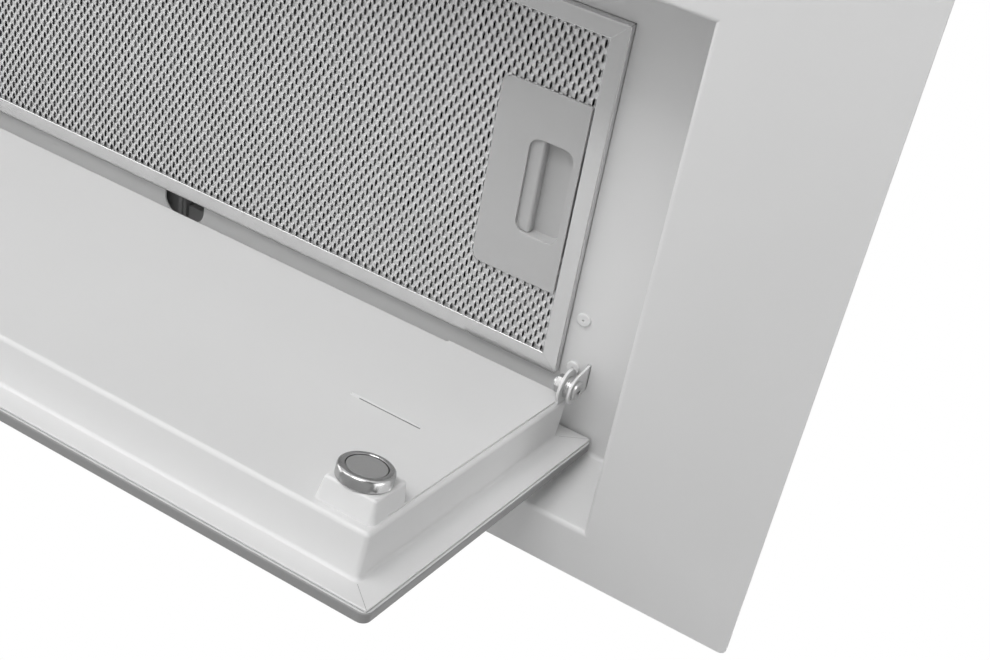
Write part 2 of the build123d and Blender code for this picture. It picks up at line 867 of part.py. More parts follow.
def motor_stator():
    """The laminated stack round the rotor, held in the motor's case."""
    radius = motor_radius - motor_wall
    stack = along_x(radius, both(motor_middle, stator_length / 2), blower_axis_y, blower_axis_z)
    return stack - along_x(stator_bore, both(motor_middle, stator_length), blower_axis_y, blower_axis_z)


def motor_case():
    """The motor's case: a cup that faces the wheel, shut by the end cap."""
    y = blower_axis_y
    z = blower_axis_z
    case = along_x(motor_radius, (motor_start, motor_end - motor_wall), y, z)
    case -= along_x(motor_radius - motor_wall, (motor_start + motor_wall, motor_end), y, z)
    collar = along_x(bearing_radius + motor_wall, (motor_start, motor_start + bearing_length), y, z)
    return case + collar - along_x(bearing_radius, (motor_start - 1, motor_start + bearing_length + 1), y, z)


def motor_end_cap():
    """The plate that shuts the motor's case and carries the outer bearing."""
    y = blower_axis_y
    z = blower_axis_z
    inner = motor_end - motor_wall
    cap = along_x(motor_radius, (inner, motor_end), y, z)
    cap += along_x(bearing_radius + motor_wall, (inner - bearing_length, motor_end), y, z)
    return cap - along_x(bearing_radius, (inner - bearing_length, inner), y, z)


def motor_bearings():
    """Two sintered bushes that the shaft runs in."""
    starts = (motor_start, motor_end - motor_wall - bearing_length)
    bushes = []
    for start in starts:
        span = (start, start + bearing_length)
        bush = along_x(bearing_radius, span, blower_axis_y, blower_axis_z)
        bushes.append(bush - along_x(shaft_radius + shaft_clearance, span, blower_axis_y, blower_axis_z))
    return bushes


def motor_bracket():
    """The three-armed plate that hangs the motor in the scroll's inlet."""
    y = blower_axis_y
    z = blower_axis_z
    span = (motor_end, motor_end + motor_bracket_sheet)
    plate = along_x(motor_bracket_disc, span, y, z)
    reach = inlet_radius + 2 * rubber_radius + 1
    for index in range(bracket_arms):
        arm = block(span, both(0, motor_bracket_arm / 2), (0, reach - motor_bracket_arm / 2))
        arm += along_x(motor_bracket_arm / 2, span, 0, reach - motor_bracket_arm / 2)
        plate += Pos(0, y, z) * arm.rotate(Axis.X, 360 / bracket_arms * index)
    for place_y, place_z in bracket_screw_places():
        plate -= along_x(blower_screw_radius, both(motor_end, 2 * motor_bracket_sheet), place_y, place_z)
    return plate


def bracket_rubbers():
    """Rubber washers between the motor bracket and the scroll."""
    rubbers = []
    for y, z in bracket_screw_places():
        rubber = along_x(rubber_radius, (scroll_outside, motor_end), y, z)
        rubbers.append(rubber - along_x(blower_screw_radius, (scroll_outside, motor_end), y, z))
    return rubbers


def blower_screws():
    """The screws that join the scroll's halves and hold the motor bracket."""
    screws = []
    for y, z in scroll_boss_places():
        shank = along_x(blower_screw_radius, (-scroll_boss_length, scroll_boss_length), y, z)
        head_x = (scroll_boss_length, scroll_boss_length + blower_screw_head_height)
        screws.append(shank + along_x(blower_screw_head, head_x, y, z))
    start = wheel_half_width + scroll_side_gap
    seat = motor_end + motor_bracket_sheet
    for y, z in bracket_screw_places():
        shank = along_x(blower_screw_radius, (start, seat), y, z)
        screws.append(shank + along_x(blower_screw_head, (seat, seat + blower_screw_head_height), y, z))
    return screws


def run_capacitor():
    """The motor's capacitor, a can with a stud through the casing's wall."""
    wall = -motor_casing_half_length + casing_sheet
    can = along_x(capacitor_radius, (wall, wall + capacitor_length), capacitor_y, capacitor_z)
    can = fillet(can.edges().filter_by(GeomType.CIRCLE).sort_by(Axis.X)[-1], capacitor_edge)
    stud = (wall - capacitor_stud_length, wall)
    return can + along_x(capacitor_stud - shaft_clearance, stud, capacitor_y, capacitor_z)


box_right = -(motor_casing_half_length + motor_casing_flange + box_from_casing)
box_x = (box_right - box_length, box_right)
box_y = (-box_depth / 2, box_depth / 2)
box_z = (casing_height, casing_height + box_height)
box_middle = (box_x[0] + box_x[1]) / 2


def box_boss_places():
    """The four corners of the control box where its lid is screwed down."""
    inset = box_wall + box_boss - 1
    corners_x = (box_x[0] + inset, box_x[1] - inset)
    corners_y = (box_y[0] + inset, box_y[1] - inset)
    return [(x, y) for x in corners_x for y in corners_y]


def lead_hole():
    """The hole that the leads go down through, from the control box into the casing."""
    return along_z(gland_neck, box_middle, box_y[0] + box_depth / 4, both(casing_height, 2 * box_wall + 1))


def control_box():
    """The plastic box for the mains terminals and the circuit board."""
    box = block(box_x, box_y, box_z)
    box = fillet(box.edges().filter_by(Axis.Z), box_wall)
    inside_x = (box_x[0] + box_wall, box_x[1] - box_wall)
    inside_y = (box_y[0] + box_wall, box_y[1] - box_wall)
    box -= block(inside_x, inside_y, (box_z[0] + box_wall, box_z[1] + 1))
    for x, y in box_boss_places():
        box += along_z(box_boss, x, y, (box_z[0], box_z[1]))
    for x, y in box_boss_places():
        box -= along_z(small_screw_radius, x, y, (box_z[1] - lid_screw_depth, box_z[1] + 1))
    box -= along_y(gland_neck, box_middle, both(box_y[1], 2 * box_wall), box_z[0] + box_height / 2)
    return box - lead_hole()


def control_box_lid():
    """The lid of the control box."""
    lid = block(box_x, box_y, (box_z[1], box_z[1] + box_lid))
    lid = fillet(lid.edges().filter_by(Axis.Z), box_wall)
    lid = fillet(lid.faces().sort_by(Axis.Z)[-1].edges(), box_lid / 3)
    for x, y in box_boss_places():
        lid -= along_z(small_screw_radius, x, y, both(box_z[1], 2 * box_lid))
    return lid


def lid_screws():
    """Screws in the lid of the control box."""
    return [small_screw(x, y, box_z[1] + box_lid, box_lid + lid_screw_reach) for x, y in box_boss_places()]


def circuit_board():
    """The circuit board on its feet, with the parts that stand on it."""
    inset = box_wall + 2 * box_boss
    x = (box_x[0] + inset, box_x[1] - inset)
    y = (box_y[0] + inset + gland_length, box_y[1] - box_wall - 2 * gland_length)
    low = box_z[0] + box_wall + board_rise
    top = low + board_sheet
    board = block(x, y, (low, top))
    for corner_x in (x[0] + board_gap, x[1] - board_gap):
        for corner_y in (y[0] + board_gap, y[1] - board_gap):
            board += along_z(board_gap, corner_x, corner_y, (box_z[0] + box_wall, low))
    left = x[0] + board_edge
    near = y[0] + board_edge
    board += block((left, left + transformer_width), (near, near + transformer_length),
                   (top, top + transformer_height))
    relay_x = (x[1] - board_edge - relay_width, x[1] - board_edge)
    for index in range(2):
        relay_y = near + index * (relay_length + board_edge)
        board += block(relay_x, (relay_y, relay_y + relay_length), (top, top + relay_height))
    inset = board_edge + condenser_radius
    return board + along_z(condenser_radius, x[0] + inset, y[1] - inset, (top, top + condenser_height))


def terminal_block():
    """The block where the mains lead is clamped, just inside the gland."""
    low = box_z[0] + box_wall
    y = box_y[1] - box_wall - gland_length
    half = terminal_count * terminal_pitch / 2 + box_wall / 2
    terminals = block(both(box_middle, half), both(y, terminal_width / 2), (low, low + terminal_height))
    lead_z = low + terminal_height / 2
    for index in range(terminal_count):
        x = box_middle + (index - (terminal_count - 1) / 2) * terminal_pitch
        terminals -= along_y(terminal_bore, x, both(y, terminal_width), lead_z)
        terminals -= along_z(terminal_bore, x, y, (lead_z, low + 2 * terminal_height))
    return terminals


def cord_gland():
    """The inlet for the mains lead, screwed into the box's rear wall."""
    z = box_z[0] + box_height / 2
    wall = box_y[1]
    gland = along_y(gland_radius, box_middle, (wall, wall + gland_length), z)
    gland = fillet(gland.edges().filter_by(GeomType.CIRCLE).sort_by(Axis.Y)[-1], gland_edge)
    nut = (wall - box_wall - gland_nut, wall - box_wall)
    gland += along_y(gland_neck, box_middle, (nut[0], wall), z)
    gland += along_y(gland_nut_radius, box_middle, nut, z)
    return gland - along_y(gland_bore, box_middle, both(wall, 2 * gland_length), z)


def led_driver():
    """The sealed driver for the lamps, on the lower casing's top."""
    left = -box_right
    x = (left, left + driver_width)
    y = both(0, driver_length / 2)
    driver = soft_block(x, y, (casing_height, casing_height + driver_height), driver_edge)
    ear_x = both(left + driver_width / 2, driver_ear)
    ear_z = (casing_height, casing_height + driver_ear_sheet)
    for end in (-1, 1):
        edge = end * driver_length / 2
        driver += block(ear_x, sorted((edge - end, edge + end * driver_ear)), ear_z)
    return driver


def lamp_bezel(x):
    """A lamp's body: a thin rim under the plate and a box that reaches up through it."""
    half_length = lamp_length / 2
    half_width = lamp_width / 2
    rim = block(both(x, half_length + lamp_rim), both(controls_y, half_width + lamp_rim),
                (-plate_sheet - lamp_rim_sheet, -plate_sheet))
    rim = fillet(rim.edges().filter_by(Axis.Z), lamp_rim)
    body = block(both(x, half_length + lamp_wall), both(controls_y, half_width + lamp_wall),
                 (-plate_sheet, lamp_body))
    lamp = rim + body
    return lamp - block(both(x, half_length), both(controls_y, half_width),
                        (-2 * plate_sheet - 1, lamp_body - lamp_wall))


def lamp_lens(x):
    """The frosted window of a lamp."""
    low = -plate_sheet - lamp_rim_sheet + lens_sink
    half_length = lamp_length / 2 - lens_gap
    return block(both(x, half_length), both(controls_y, lamp_width / 2 - lens_gap), (low, low + lens_sheet))


def lamp_board(x):
    """The strip of light-emitting diodes above the lens."""
    top = lamp_body - lamp_wall
    half_length = lamp_length / 2 - lens_gap
    strip_y = both(controls_y, lamp_width / 2 - strip_inset)
    strip = block(both(x, half_length), strip_y, (top - board_sheet, top))
    diode_z = (top - board_sheet - diode_height, top - board_sheet)
    for index in range(diode_count):
        place = x + (index - (diode_count - 1) / 2) * lamp_length / diode_count
        strip += block(both(place, diode_size / 2), both(controls_y, diode_size / 2), diode_z)
    return strip


button_low = -plate_sheet - button_proud
button_collar_low = pan_sheet + button_gap
button_top = button_collar_low + button_collar_sheet + button_stem_length
switch_low = button_top + button_travel + button_gap


def push_button(x):
    """One round push button with its stop collar and the stem that works its switch."""
    cap = along_z(button_radius, x, controls_y, (button_low, button_collar_low))
    cap = fillet(cap.edges().filter_by(GeomType.CIRCLE).sort_by(Axis.Z)[0], button_proud / 2)
    collar_z = (button_collar_low, button_collar_low + button_collar_sheet)
    collar = along_z(button_radius + button_collar, x, controls_y, collar_z)
    return cap + collar + along_z(button_stem, x, controls_y, (collar_z[1], button_top))


def button_board():
    """The small board with a switch over each button."""
    reach = button_radius + button_board_edge
    low = switch_low + switch_height
    board = block(both(0, button_places()[-1] + reach), both(controls_y, reach), (low, low + board_sheet))
    for x in button_places():
        board += block(both(x, switch_size / 2), both(controls_y, switch_size / 2), (switch_low, low))
    return board


def button_housing():
    """The plastic cover over the buttons, seated on the pan's foot and carrying their board."""
    half = button_places()[-1] + button_box_margin
    half_width = button_radius + button_collar + button_box_gap
    low = pan_sheet
    high = pan_sheet + button_box_height
    board_top = switch_low + switch_height + board_sheet
    cover = block(both(0, half), both(controls_y, half_width + button_box_wall), (low, high))
    cover -= block(both(0, half - button_box_wall), both(controls_y, half_width), (low - 1, high - button_box_wall))
    for x in (-half + 2 * button_box_wall, half - 2 * button_box_wall):
        cover += along_z(button_box_wall, x, controls_y, (board_top, high))
    return cover


filter_x = (-filter_half, filter_half)
filter_y = (filter_front, filter_rear)
mesh_front_low = filter_low + filter_hem + mesh_gap
handle_low = filter_low + handle_sink
handle_high = handle_low + handle_sheet
handle_right = filter_half - filter_lip - handle_side_gap
handle_left = handle_right - handle_length
handle_middle = (filter_front + filter_rear) / 2
cup_right = handle_right - cup_side
cup_left = cup_right - cup_length
cup_low = handle_low + cup_sink
cup_span = both(handle_middle, cup_depth / 2)
bar_right = cup_left + latch_bar
bar_left = cup_left - latch_hidden
pocket_left = bar_left - spring_pocket
arm_low = cup_low + cup_floor + latch_clearance
arm_span = both(handle_middle, latch_half_width)
bolt_right = filter_half + bolt_reach
bolt_left = bolt_right - bolt_length
tub_x = (pocket_left - cup_wall, cup_right + cup_wall)
tub_y = (cup_span[0] - cup_wall, cup_span[1] + cup_wall)


def filter_ring():
    """The filter's whole frame: a channel that opens inwards round the meshes."""
    ring = block(filter_x, filter_y, (filter_low, filter_high))
    ring = fillet(ring.edges(), filter_edge_radius)
    inside = filter_half - filter_lip
    ring -= block((-inside, inside), (filter_front + filter_lip, filter_rear - filter_lip),
                  (filter_low - 1, filter_high + 1))
    channel = filter_half - filter_wall
    ring -= block((-channel, channel), (filter_front + filter_wall, filter_rear - filter_wall),
                  (filter_low + filter_hem, filter_high - filter_wall))
    bolt_z = (floor_high + bolt_above_floor - latch_clearance, filter_high)
    ring -= block((inside, filter_half + 1), both(handle_middle, latch_half_width + latch_clearance), bolt_z)
    for y in tongue_places():
        tongue_z = (floor_high + bolt_above_floor, floor_high + bolt_above_floor + tongue_sheet)
        ring -= block((-filter_half - 1, -channel + 0.5), both(y, tongue_width / 2), tongue_z)
    return ring


def tongue_places():
    """Where the two tongues stand along the filter's left rail."""
    return (handle_middle - tongue_spacing / 2, handle_middle + tongue_spacing / 2)


def mitred(ring, corner_a, corner_b, way):
    """The rail of the ring between two corners, its ends cut at 45 degrees."""
    step = filter_lip
    if way[0]:
        points = [corner_a, corner_b, (corner_b[0] + way[0] * step, corner_b[1] - step),
                  (corner_a[0] + way[0] * step, corner_a[1] + step)]
    else:
        points = [corner_a, corner_b, (corner_b[0] - step, corner_b[1] + way[1] * step),
                  (corner_a[0] + step, corner_a[1] + way[1] * step)]
    with BuildSketch() as plan:
        with BuildLine():
            Polyline(*points, close=True)
        make_face()
    return ring & extrude(Pos(0, 0, filter_low - 1) * plan.sketch, filter_thickness + 2)


def filter_mesh(low, thickness):
    """One layer of the filter's expanded mesh, as a plain sheet of its outer size."""
    inset = filter_wall + mesh_side_gap
    sheet = block((-filter_half + inset, filter_half - inset), (filter_front + inset, filter_rear - inset),
                  (low, low + thickness))
    gap = mesh_tub_gap
    through = both(low, 2 * thickness)
    sheet -= block((tub_x[0] - gap, tub_x[1] + gap), (tub_y[0] - gap, tub_y[1] + gap), through)
    if low > mesh_front_low:
        sheet -= block((tub_x[1], filter_half), both(handle_middle, latch_half_width + gap), through)
    return sheet


def handle_plate():
    """The grey plastic plate on the filter, with the finger cup and the pocket for the latch."""
    plate_y = both(handle_middle, handle_depth / 2)
    plate = block((handle_left, handle_right), plate_y, (handle_low, handle_high))
    left_corners = plate.edges().filter_by(Axis.Z).sort_by(Axis.X)[:2]
    plate = fillet(left_corners, handle_corner)
    handle = plate + block(tub_x, tub_y, (handle_low, cup_low + cup_floor))
    mouth = block((cup_left, cup_right), cup_span, (handle_low - 1, cup_low))
    handle -= fillet(mouth.edges().filter_by(Axis.Z), cup_corner)
    handle -= block((pocket_left, cup_right - cup_corner), cup_span, (handle_high, cup_low))
    slot_x = (bar_left - latch_travel - latch_clearance, bar_left + latch_post + latch_clearance)
    slot_y = both(handle_middle, latch_post_half + latch_clearance)
    handle -= block(slot_x, slot_y, (cup_low - 1, cup_low + 2 * cup_floor))
    return handle


def latch_slider():
    """The finger bar and, behind the cup, the arm and bolt that hold the filter over the floor's edge."""
    bar_span = (cup_span[0] + latch_clearance, cup_span[1] - latch_clearance)
    bar = block((bar_left, bar_right), bar_span, (handle_high + latch_clearance, cup_low - latch_clearance))
    bar = fillet(bar.edges().filter_by(Axis.Y).group_by(Axis.X)[-1].sort_by(Axis.Z)[0], latch_bar_round)
    arm_high = arm_low + latch_arm
    post = block((bar_left, bar_left + latch_post), both(handle_middle, latch_post_half),
                 (cup_low - 2 * latch_clearance, arm_high))
    arm = block((bar_left, bolt_left), arm_span, (arm_low, arm_high))
    bolt = block((bolt_left, bolt_right), arm_span, (floor_high + bolt_above_floor, arm_high))
    tip = bolt.edges().filter_by(Axis.Y).sort_by(lambda edge: edge.center().X + edge.center().Z)[-1]
    return bar + post + arm + chamfer(tip, bolt_chamfer)


def latch_spring():
    """The coil spring in the pocket that pushes the finger bar back."""
    length = spring_pocket - spring_wire
    rise = length / spring_turns
    centre_z = (handle_high + cup_low) / 2
    coil = Helix(pitch=rise, height=length, radius=spring_radius)
    wire = sweep(Plane(coil @ 0, z_dir=coil % 0) * Circle(spring_wire / 2), path=coil, is_frenet=True)
    return Pos(pocket_left + spring_wire / 2, handle_middle, centre_z) * Rot(0, 90, 0) * wire


def filter_tongues():
    """Two steel tongues that hang the filter's left end on the floor's edge."""
    z = (floor_high + bolt_above_floor, floor_high + bolt_above_floor + tongue_sheet)
    x = (-filter_half - tongue_reach, -filter_half + filter_wall)
    return [block(x, both(y, tongue_width / 2), z) for y in tongue_places()]


def glass_panel():
    """The flat pane that shuts the recess."""
    pane = block((-glass_half, glass_half), (glass_front, glass_rear), (glass_low, glass_high))
    pane = fillet(pane.edges().filter_by(Axis.Z), glass_corner)
    rims = pane.faces().sort_by(Axis.Z)[0].edges() + pane.faces().sort_by(Axis.Z)[-1].edges()
    return chamfer(rims, glass_chamfer)


def adhesive_tape():
    """The band of tape between the tray's flange and the glass."""
    half = tray_half + tape_width
    y = (tray_front - tape_width, tray_rear + tape_width)
    tape = block((-half, half), y, (glass_high, tray_low))
    return tape - block((-tray_half, tray_half), (tray_front, tray_rear), both(tray_low, 2 * tape_thickness))


def inner_tray():
    """The white steel tray on the glass: a flat top, upright walls and a flange all round."""
    half = tray_half + tray_flange
    y = (tray_front - tray_flange, tray_rear + tray_flange)
    flange_top = tray_low + tray_sheet
    tray = block((-half, half), y, (tray_low, flange_top))
    tray += soft_block((-tray_half, tray_half), (tray_front, tray_rear), (tray_low, tray_top), tray_bend)
    fold = [
        edge
        for edge in tray.edges().filter_by_position(Axis.Z, flange_top - 0.01, flange_top + 0.01)
        if abs(edge.center().X) < half - 1 and y[0] + 1 < edge.center().Y < y[1] - 1
    ]
    tray = fillet(fold, tray_fold)
    inside = tray_half - tray_sheet
    return tray - soft_block((-inside, inside), (tray_front + tray_sheet, tray_rear - tray_sheet),
                             (tray_low - 1, tray_top - tray_sheet), tray_bend - tray_sheet)


def panel_bracket():
    """The right bracket on the tray: an L of sheet with the hinge lug and the seat for the magnet."""
    outer = tray_half - bracket_edge_inset
    rear = tray_rear - tray_bend
    z = (tray_top, tray_top + bracket_sheet)
    wide = block((outer - bracket_wide, outer), (axis_y - bracket_wide_reach, rear), z)
    seat_x = (outer - bracket_narrow, outer)
    seat_y = (magnet_y - seat_front, magnet_y + seat_rear)
    narrow = block(seat_x, (magnet_y, rear), z)
    lug_x = (panel_lug_inside, panel_lug_outside)
    lug = along_x(panel_lug_radius, lug_x, axis_y, axis_z)
    lug = lug & block(lug_x, both(axis_y, 2 * panel_lug_radius), (z[0], axis_z + 2 * panel_lug_radius))
    foot = block((outer - panel_lug_sheet, panel_lug_outside), (axis_y - panel_lug_foot, rear), z)
    seat = drawn_tub(seat_x, seat_y, (z[0], seat_top), seat_corner)
    seat = fillet(seat.faces().sort_by(Axis.Z)[-1].edges(), seat_bend)
    inside_x = (seat_x[0] + bracket_sheet, seat_x[1] - bracket_sheet)
    inside_y = (seat_y[0] + bracket_sheet, seat_y[1] - bracket_sheet)
    seat -= drawn_tub(inside_x, inside_y, (z[1], seat_top - bracket_sheet), seat_corner - bracket_sheet)
    bracket = wide + narrow + lug + foot + seat
    bore = both(panel_lug_inside, 2 * panel_lug_sheet)
    return bracket - along_x(screw_radius, bore, axis_y, axis_z)


def magnet_pot():
    """The polished cup of one catch magnet."""
    pot = along_z(magnet_radius, magnet_x, magnet_y, (seat_top, magnet_top))
    pot = fillet(pot.edges().filter_by(GeomType.CIRCLE), magnet_rim)
    hollow = (magnet_top - magnet_disc_sink - magnet_disc_depth, magnet_top + 1)
    return pot - along_z(magnet_disc_radius, magnet_x, magnet_y, hollow)


def magnet_disc():
    """The grey magnet inside the cup, a little below its rim."""
    top = magnet_top - magnet_disc_sink
    return along_z(magnet_disc_radius, magnet_x, magnet_y, (top - magnet_disc_depth, top))


def hinge_bracket():
    """The right bracket on the floor's upper side, with the lug that hangs down through the slot."""
    foot_x = (lug_outside - hinge_foot_width - 2 * lug_sheet, lug_outside)
    foot_y = (axis_y - hinge_foot_front, axis_y + lug_half_width)
    foot = block(foot_x, foot_y, (floor_high, floor_high + lug_sheet))
    lug = block((lug_inside, lug_outside), both(axis_y, lug_half_width), (axis_z, floor_high + lug_sheet))
    lug += along_x(lug_half_width, (lug_inside, lug_outside), axis_y, axis_z)
    bracket = foot + lug
    bracket -= along_x(screw_radius + pin_clearance, both(lug_inside, 2 * lug_sheet), axis_y, axis_z)
    for y in rivet_places():
        bracket -= along_z(rivet_radius, lug_inside - rivet_inset, y, both(floor_high, 2 * lug_sheet))
    return bracket


def hinge_rivets():
    """Blind rivets with their painted heads on the visible side of the floor."""
    rivets = []
    x = lug_inside - rivet_inset
    for y in rivet_places():
        head = along_z(rivet_head_radius, x, y, (floor_low - rivet_head_height, floor_low))
        head = fillet(head.edges().filter_by(GeomType.CIRCLE).sort_by(Axis.Z)[0], rivet_head_round)
        head -= along_z(rivet_bore, x, y, both(floor_low - rivet_head_height, rivet_bore_depth))
        shank = along_z(rivet_radius, x, y, (floor_low, floor_high + lug_sheet))
        tail_low = floor_high + lug_sheet
        tail = along_z(rivet_tail_radius, x, y, (tail_low, tail_low + rivet_tail_height))
        rivets.append(head + shank + tail)
    return rivets


def hinge_screw():
    """The screw that the panel turns on, its cross-slotted head outside the floor's lug."""
    seat = lug_outside + face_clearance
    tip = panel_lug_inside - nut_height - screw_tip
    shank = along_x(screw_radius, (tip, seat), axis_y, axis_z)
    head = along_x(screw_head_radius, (seat, seat + screw_head_height), axis_y, axis_z)
    head = fillet(head.edges().filter_by(GeomType.CIRCLE).sort_by(Axis.X)[-1], screw_head_height / 2)
    slot_x = (seat + screw_head_height / 2, seat + 2 * screw_head_height)
    slot = block(slot_x, both(axis_y, screw_head_radius / 2), both(axis_z, screw_slot / 2))
    slot += block(slot_x, both(axis_y, screw_slot / 2), both(axis_z, screw_head_radius / 2))
    return shank + head - slot


def hinge_washers():
    """Three washers that fill the space between the panel's lug and the floor's lug."""
    span = lug_inside - face_clearance - panel_lug_outside
    thickness = span / washer_count
    washers = []
    for index in range(washer_count):
        x = (panel_lug_outside + index * thickness, panel_lug_outside + (index + 1) * thickness)
        washer = along_x(washer_radius, x, axis_y, axis_z)
        washer = fillet(washer.edges().filter_by(GeomType.CIRCLE), washer_edge)
        washers.append(washer - along_x(screw_radius, x, axis_y, axis_z))
    return washers


def hinge_nut():
    """The nut on the inner side of the panel's lug."""
    outline = RegularPolygon(nut_flats / 2, 6, major_radius=False)
    nut = extrude(Plane.YZ * outline, nut_height)
    nut = Pos(panel_lug_inside - nut_height, axis_y, axis_z) * nut
    return nut - along_x(screw_radius, (panel_lug_inside - nut_height, panel_lug_inside), axis_y, axis_z)


def with_mirror(solid):
    """A piece and its copy on the other side."""
    return [solid, mirrored(solid)]


def main():
    """Make every piece and write it out."""
    os.makedirs("parts", exist_ok=True)

    save("trim_plate", trim_plate())
    save("recess_pan", recess_pan())
    save("base_casing", base_casing())
    save("casing_rivets", *casing_rivets())
    save("motor_casing", motor_casing())
    save("motor_casing_screws", *motor_casing_screws())
    save("outlet_collar", outlet_collar())
    save("collar_screws", *collar_screws())
    save("damper_pins", *damper_pins())
    save("damper_flap_front", damper_flap(damper_axes[0], -1))
    save("damper_flap_rear", damper_flap(damper_axes[1], 1))

    right = scroll_right()
    save("scroll_right", right)
    save("scroll_left", mirrored(right))
    save("impeller_wheel", impeller_wheel())
    save("motor_shaft", motor_shaft())
    save("motor_rotor", motor_rotor())
    save("motor_stator", motor_stator())
    save("motor_case", motor_case())
    save("motor_end_cap", motor_end_cap())
    save("motor_bearings", *motor_bearings())
    save("motor_bracket", motor_bracket())
    save("bracket_rubbers", *bracket_rubbers())
    save("blower_screws", *blower_screws())
    save("run_capacitor", run_capacitor())

    save("control_box", control_box())
    save("control_box_lid", control_box_lid())
    save("lid_screws", *lid_screws())
    save("circuit_board", circuit_board())
    save("terminal_block", terminal_block())
    save("cord_gland", cord_gland())
    save("led_driver", led_driver())

    save("lamp_bezels", lamp_bezel(-lamp_centre), lamp_bezel(lamp_centre))
    save("lamp_lenses", lamp_lens(-lamp_centre), lamp_lens(lamp_centre))
    save("lamp_boards", lamp_board(-lamp_centre), lamp_board(lamp_centre))
    button_names = ("light_button", "low_speed_button", "medium_speed_button", "high_speed_button")
    for name, x in zip(button_names, button_places()):
        save(name, push_button(x))
    save("button_board", button_board())
    save("button_housing", button_housing())

    ring = filter_ring()
    front_left = (-filter_half, filter_front)
    front_right = (filter_half, filter_front)
    rear_left = (-filter_half, filter_rear)
    rear_right = (filter_half, filter_rear)
    front_rail = mitred(ring, front_left, front_right, (0, 1))
    rear_rail = mitred(ring, rear_left, rear_right, (0, -1))
    left_rail = mitred(ring, front_left, rear_left, (1, 0))
    right_rail = mitred(ring, front_right, rear_right, (-1, 0))
    save("filter_long_rails", front_rail, rear_rail)
    save("filter_side_rails", left_rail, right_rail)
    core_low = mesh_front_low + mesh_sheet + mesh_gap
    back_low = core_low + mesh_core + mesh_gap
    save("filter_front_mesh", filter_mesh(mesh_front_low, mesh_sheet))
    save("filter_core_mesh", filter_mesh(core_low, mesh_core))
    save("filter_back_mesh", filter_mesh(back_low, mesh_sheet))
    save("filter_handle", handle_plate())
    save("filter_tongues", *filter_tongues())
    save("latch_slider", latch_slider())
    save("latch_spring", latch_spring())

    save("hinge_brackets", *with_mirror(hinge_bracket()))
    rivets = hinge_rivets()
    save("hinge_rivets", *rivets, *[mirrored(rivet) for rivet in rivets])

    save("glass_panel", opened(glass_panel()))
    save("adhesive_tape", opened(adhesive_tape()))
    save("inner_tray", opened(inner_tray()))
    save("panel_brackets", *[opened(piece) for piece in with_mirror(panel_bracket())])
    save("magnet_pots", *[opened(piece) for piece in with_mirror(magnet_pot())])
    save("magnet_discs", *[opened(piece) for piece in with_mirror(magnet_disc())])
    save("hinge_screws", *[opened(piece) for piece in with_mirror(hinge_screw())])
    washers = [opened(washer) for washer in hinge_washers()]
    save("hinge_washers", *washers, *[mirrored(washer) for washer in washers])
    save("hinge_nuts", *[opened(piece) for piece in with_mirror(hinge_nut())])


main()
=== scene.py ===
# %% [markdown]
# A built-in range hood, seen from below, with its glass panel hanging open.
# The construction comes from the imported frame. This script gives every surface its finish, rounds the
# edges that a real press or mould would round, and makes the expanded metal of the grease filter.

# %% Load the frame
import json
import math
import random
from collections import namedtuple

import bmesh
import bpy
from mathutils import Matrix, Vector

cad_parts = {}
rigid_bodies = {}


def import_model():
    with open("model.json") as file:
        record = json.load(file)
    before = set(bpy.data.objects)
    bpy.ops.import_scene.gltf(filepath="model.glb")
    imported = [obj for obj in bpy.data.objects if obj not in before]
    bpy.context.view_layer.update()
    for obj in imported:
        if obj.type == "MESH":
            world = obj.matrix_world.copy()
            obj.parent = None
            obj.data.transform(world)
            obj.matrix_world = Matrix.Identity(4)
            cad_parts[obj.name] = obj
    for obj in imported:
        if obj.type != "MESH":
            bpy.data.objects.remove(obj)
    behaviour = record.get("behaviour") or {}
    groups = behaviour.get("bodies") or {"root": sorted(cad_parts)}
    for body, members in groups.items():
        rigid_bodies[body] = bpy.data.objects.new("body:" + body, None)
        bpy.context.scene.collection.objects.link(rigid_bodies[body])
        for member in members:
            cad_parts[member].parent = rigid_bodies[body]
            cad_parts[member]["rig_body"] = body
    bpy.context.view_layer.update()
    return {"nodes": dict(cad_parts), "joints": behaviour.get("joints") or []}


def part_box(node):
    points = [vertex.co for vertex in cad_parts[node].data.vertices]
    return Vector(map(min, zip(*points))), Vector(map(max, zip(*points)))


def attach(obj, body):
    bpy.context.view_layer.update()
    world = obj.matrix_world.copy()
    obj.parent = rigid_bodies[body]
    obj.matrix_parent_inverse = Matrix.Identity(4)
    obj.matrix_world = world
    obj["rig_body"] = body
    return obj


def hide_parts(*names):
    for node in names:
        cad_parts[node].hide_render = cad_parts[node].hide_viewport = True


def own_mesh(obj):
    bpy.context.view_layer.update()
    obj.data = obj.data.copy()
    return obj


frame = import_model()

MM = 0.001
nodes = frame["nodes"]
print("nodes", len(nodes))

# %% [markdown]
# The camera stands below the hood's front right corner and looks up and back, as the photograph does.
# Its place and its three axes are written down as measured, in metres and in the hood's own frame.

# %% Camera
camera_place = Vector((0.3701, -0.2723, -0.4260))
camera_right = Vector((0.85294, -0.15473, 0.49855))
camera_up = Vector((-0.40010, -0.80721, 0.43398))
camera_back = Vector((0.33529, -0.56962, -0.75041))

camera_data = bpy.data.cameras.new("photo_camera")
camera_data.lens = 55.25
camera_data.sensor_width = 36.0
camera_data.clip_start = 0.01
camera_data.clip_end = 50.0
camera = bpy.data.objects.new("photo_camera", camera_data)
bpy.context.scene.collection.objects.link(camera)
turn = Matrix((camera_right, camera_up, camera_back)).transposed()
camera.matrix_world = Matrix.Translation(camera_place) @ turn.to_4x4()
bpy.context.scene.camera = camera
bpy.context.scene.view_settings.view_transform = "Standard"
print("camera looks along", [round(-value, 3) for value in camera_back])

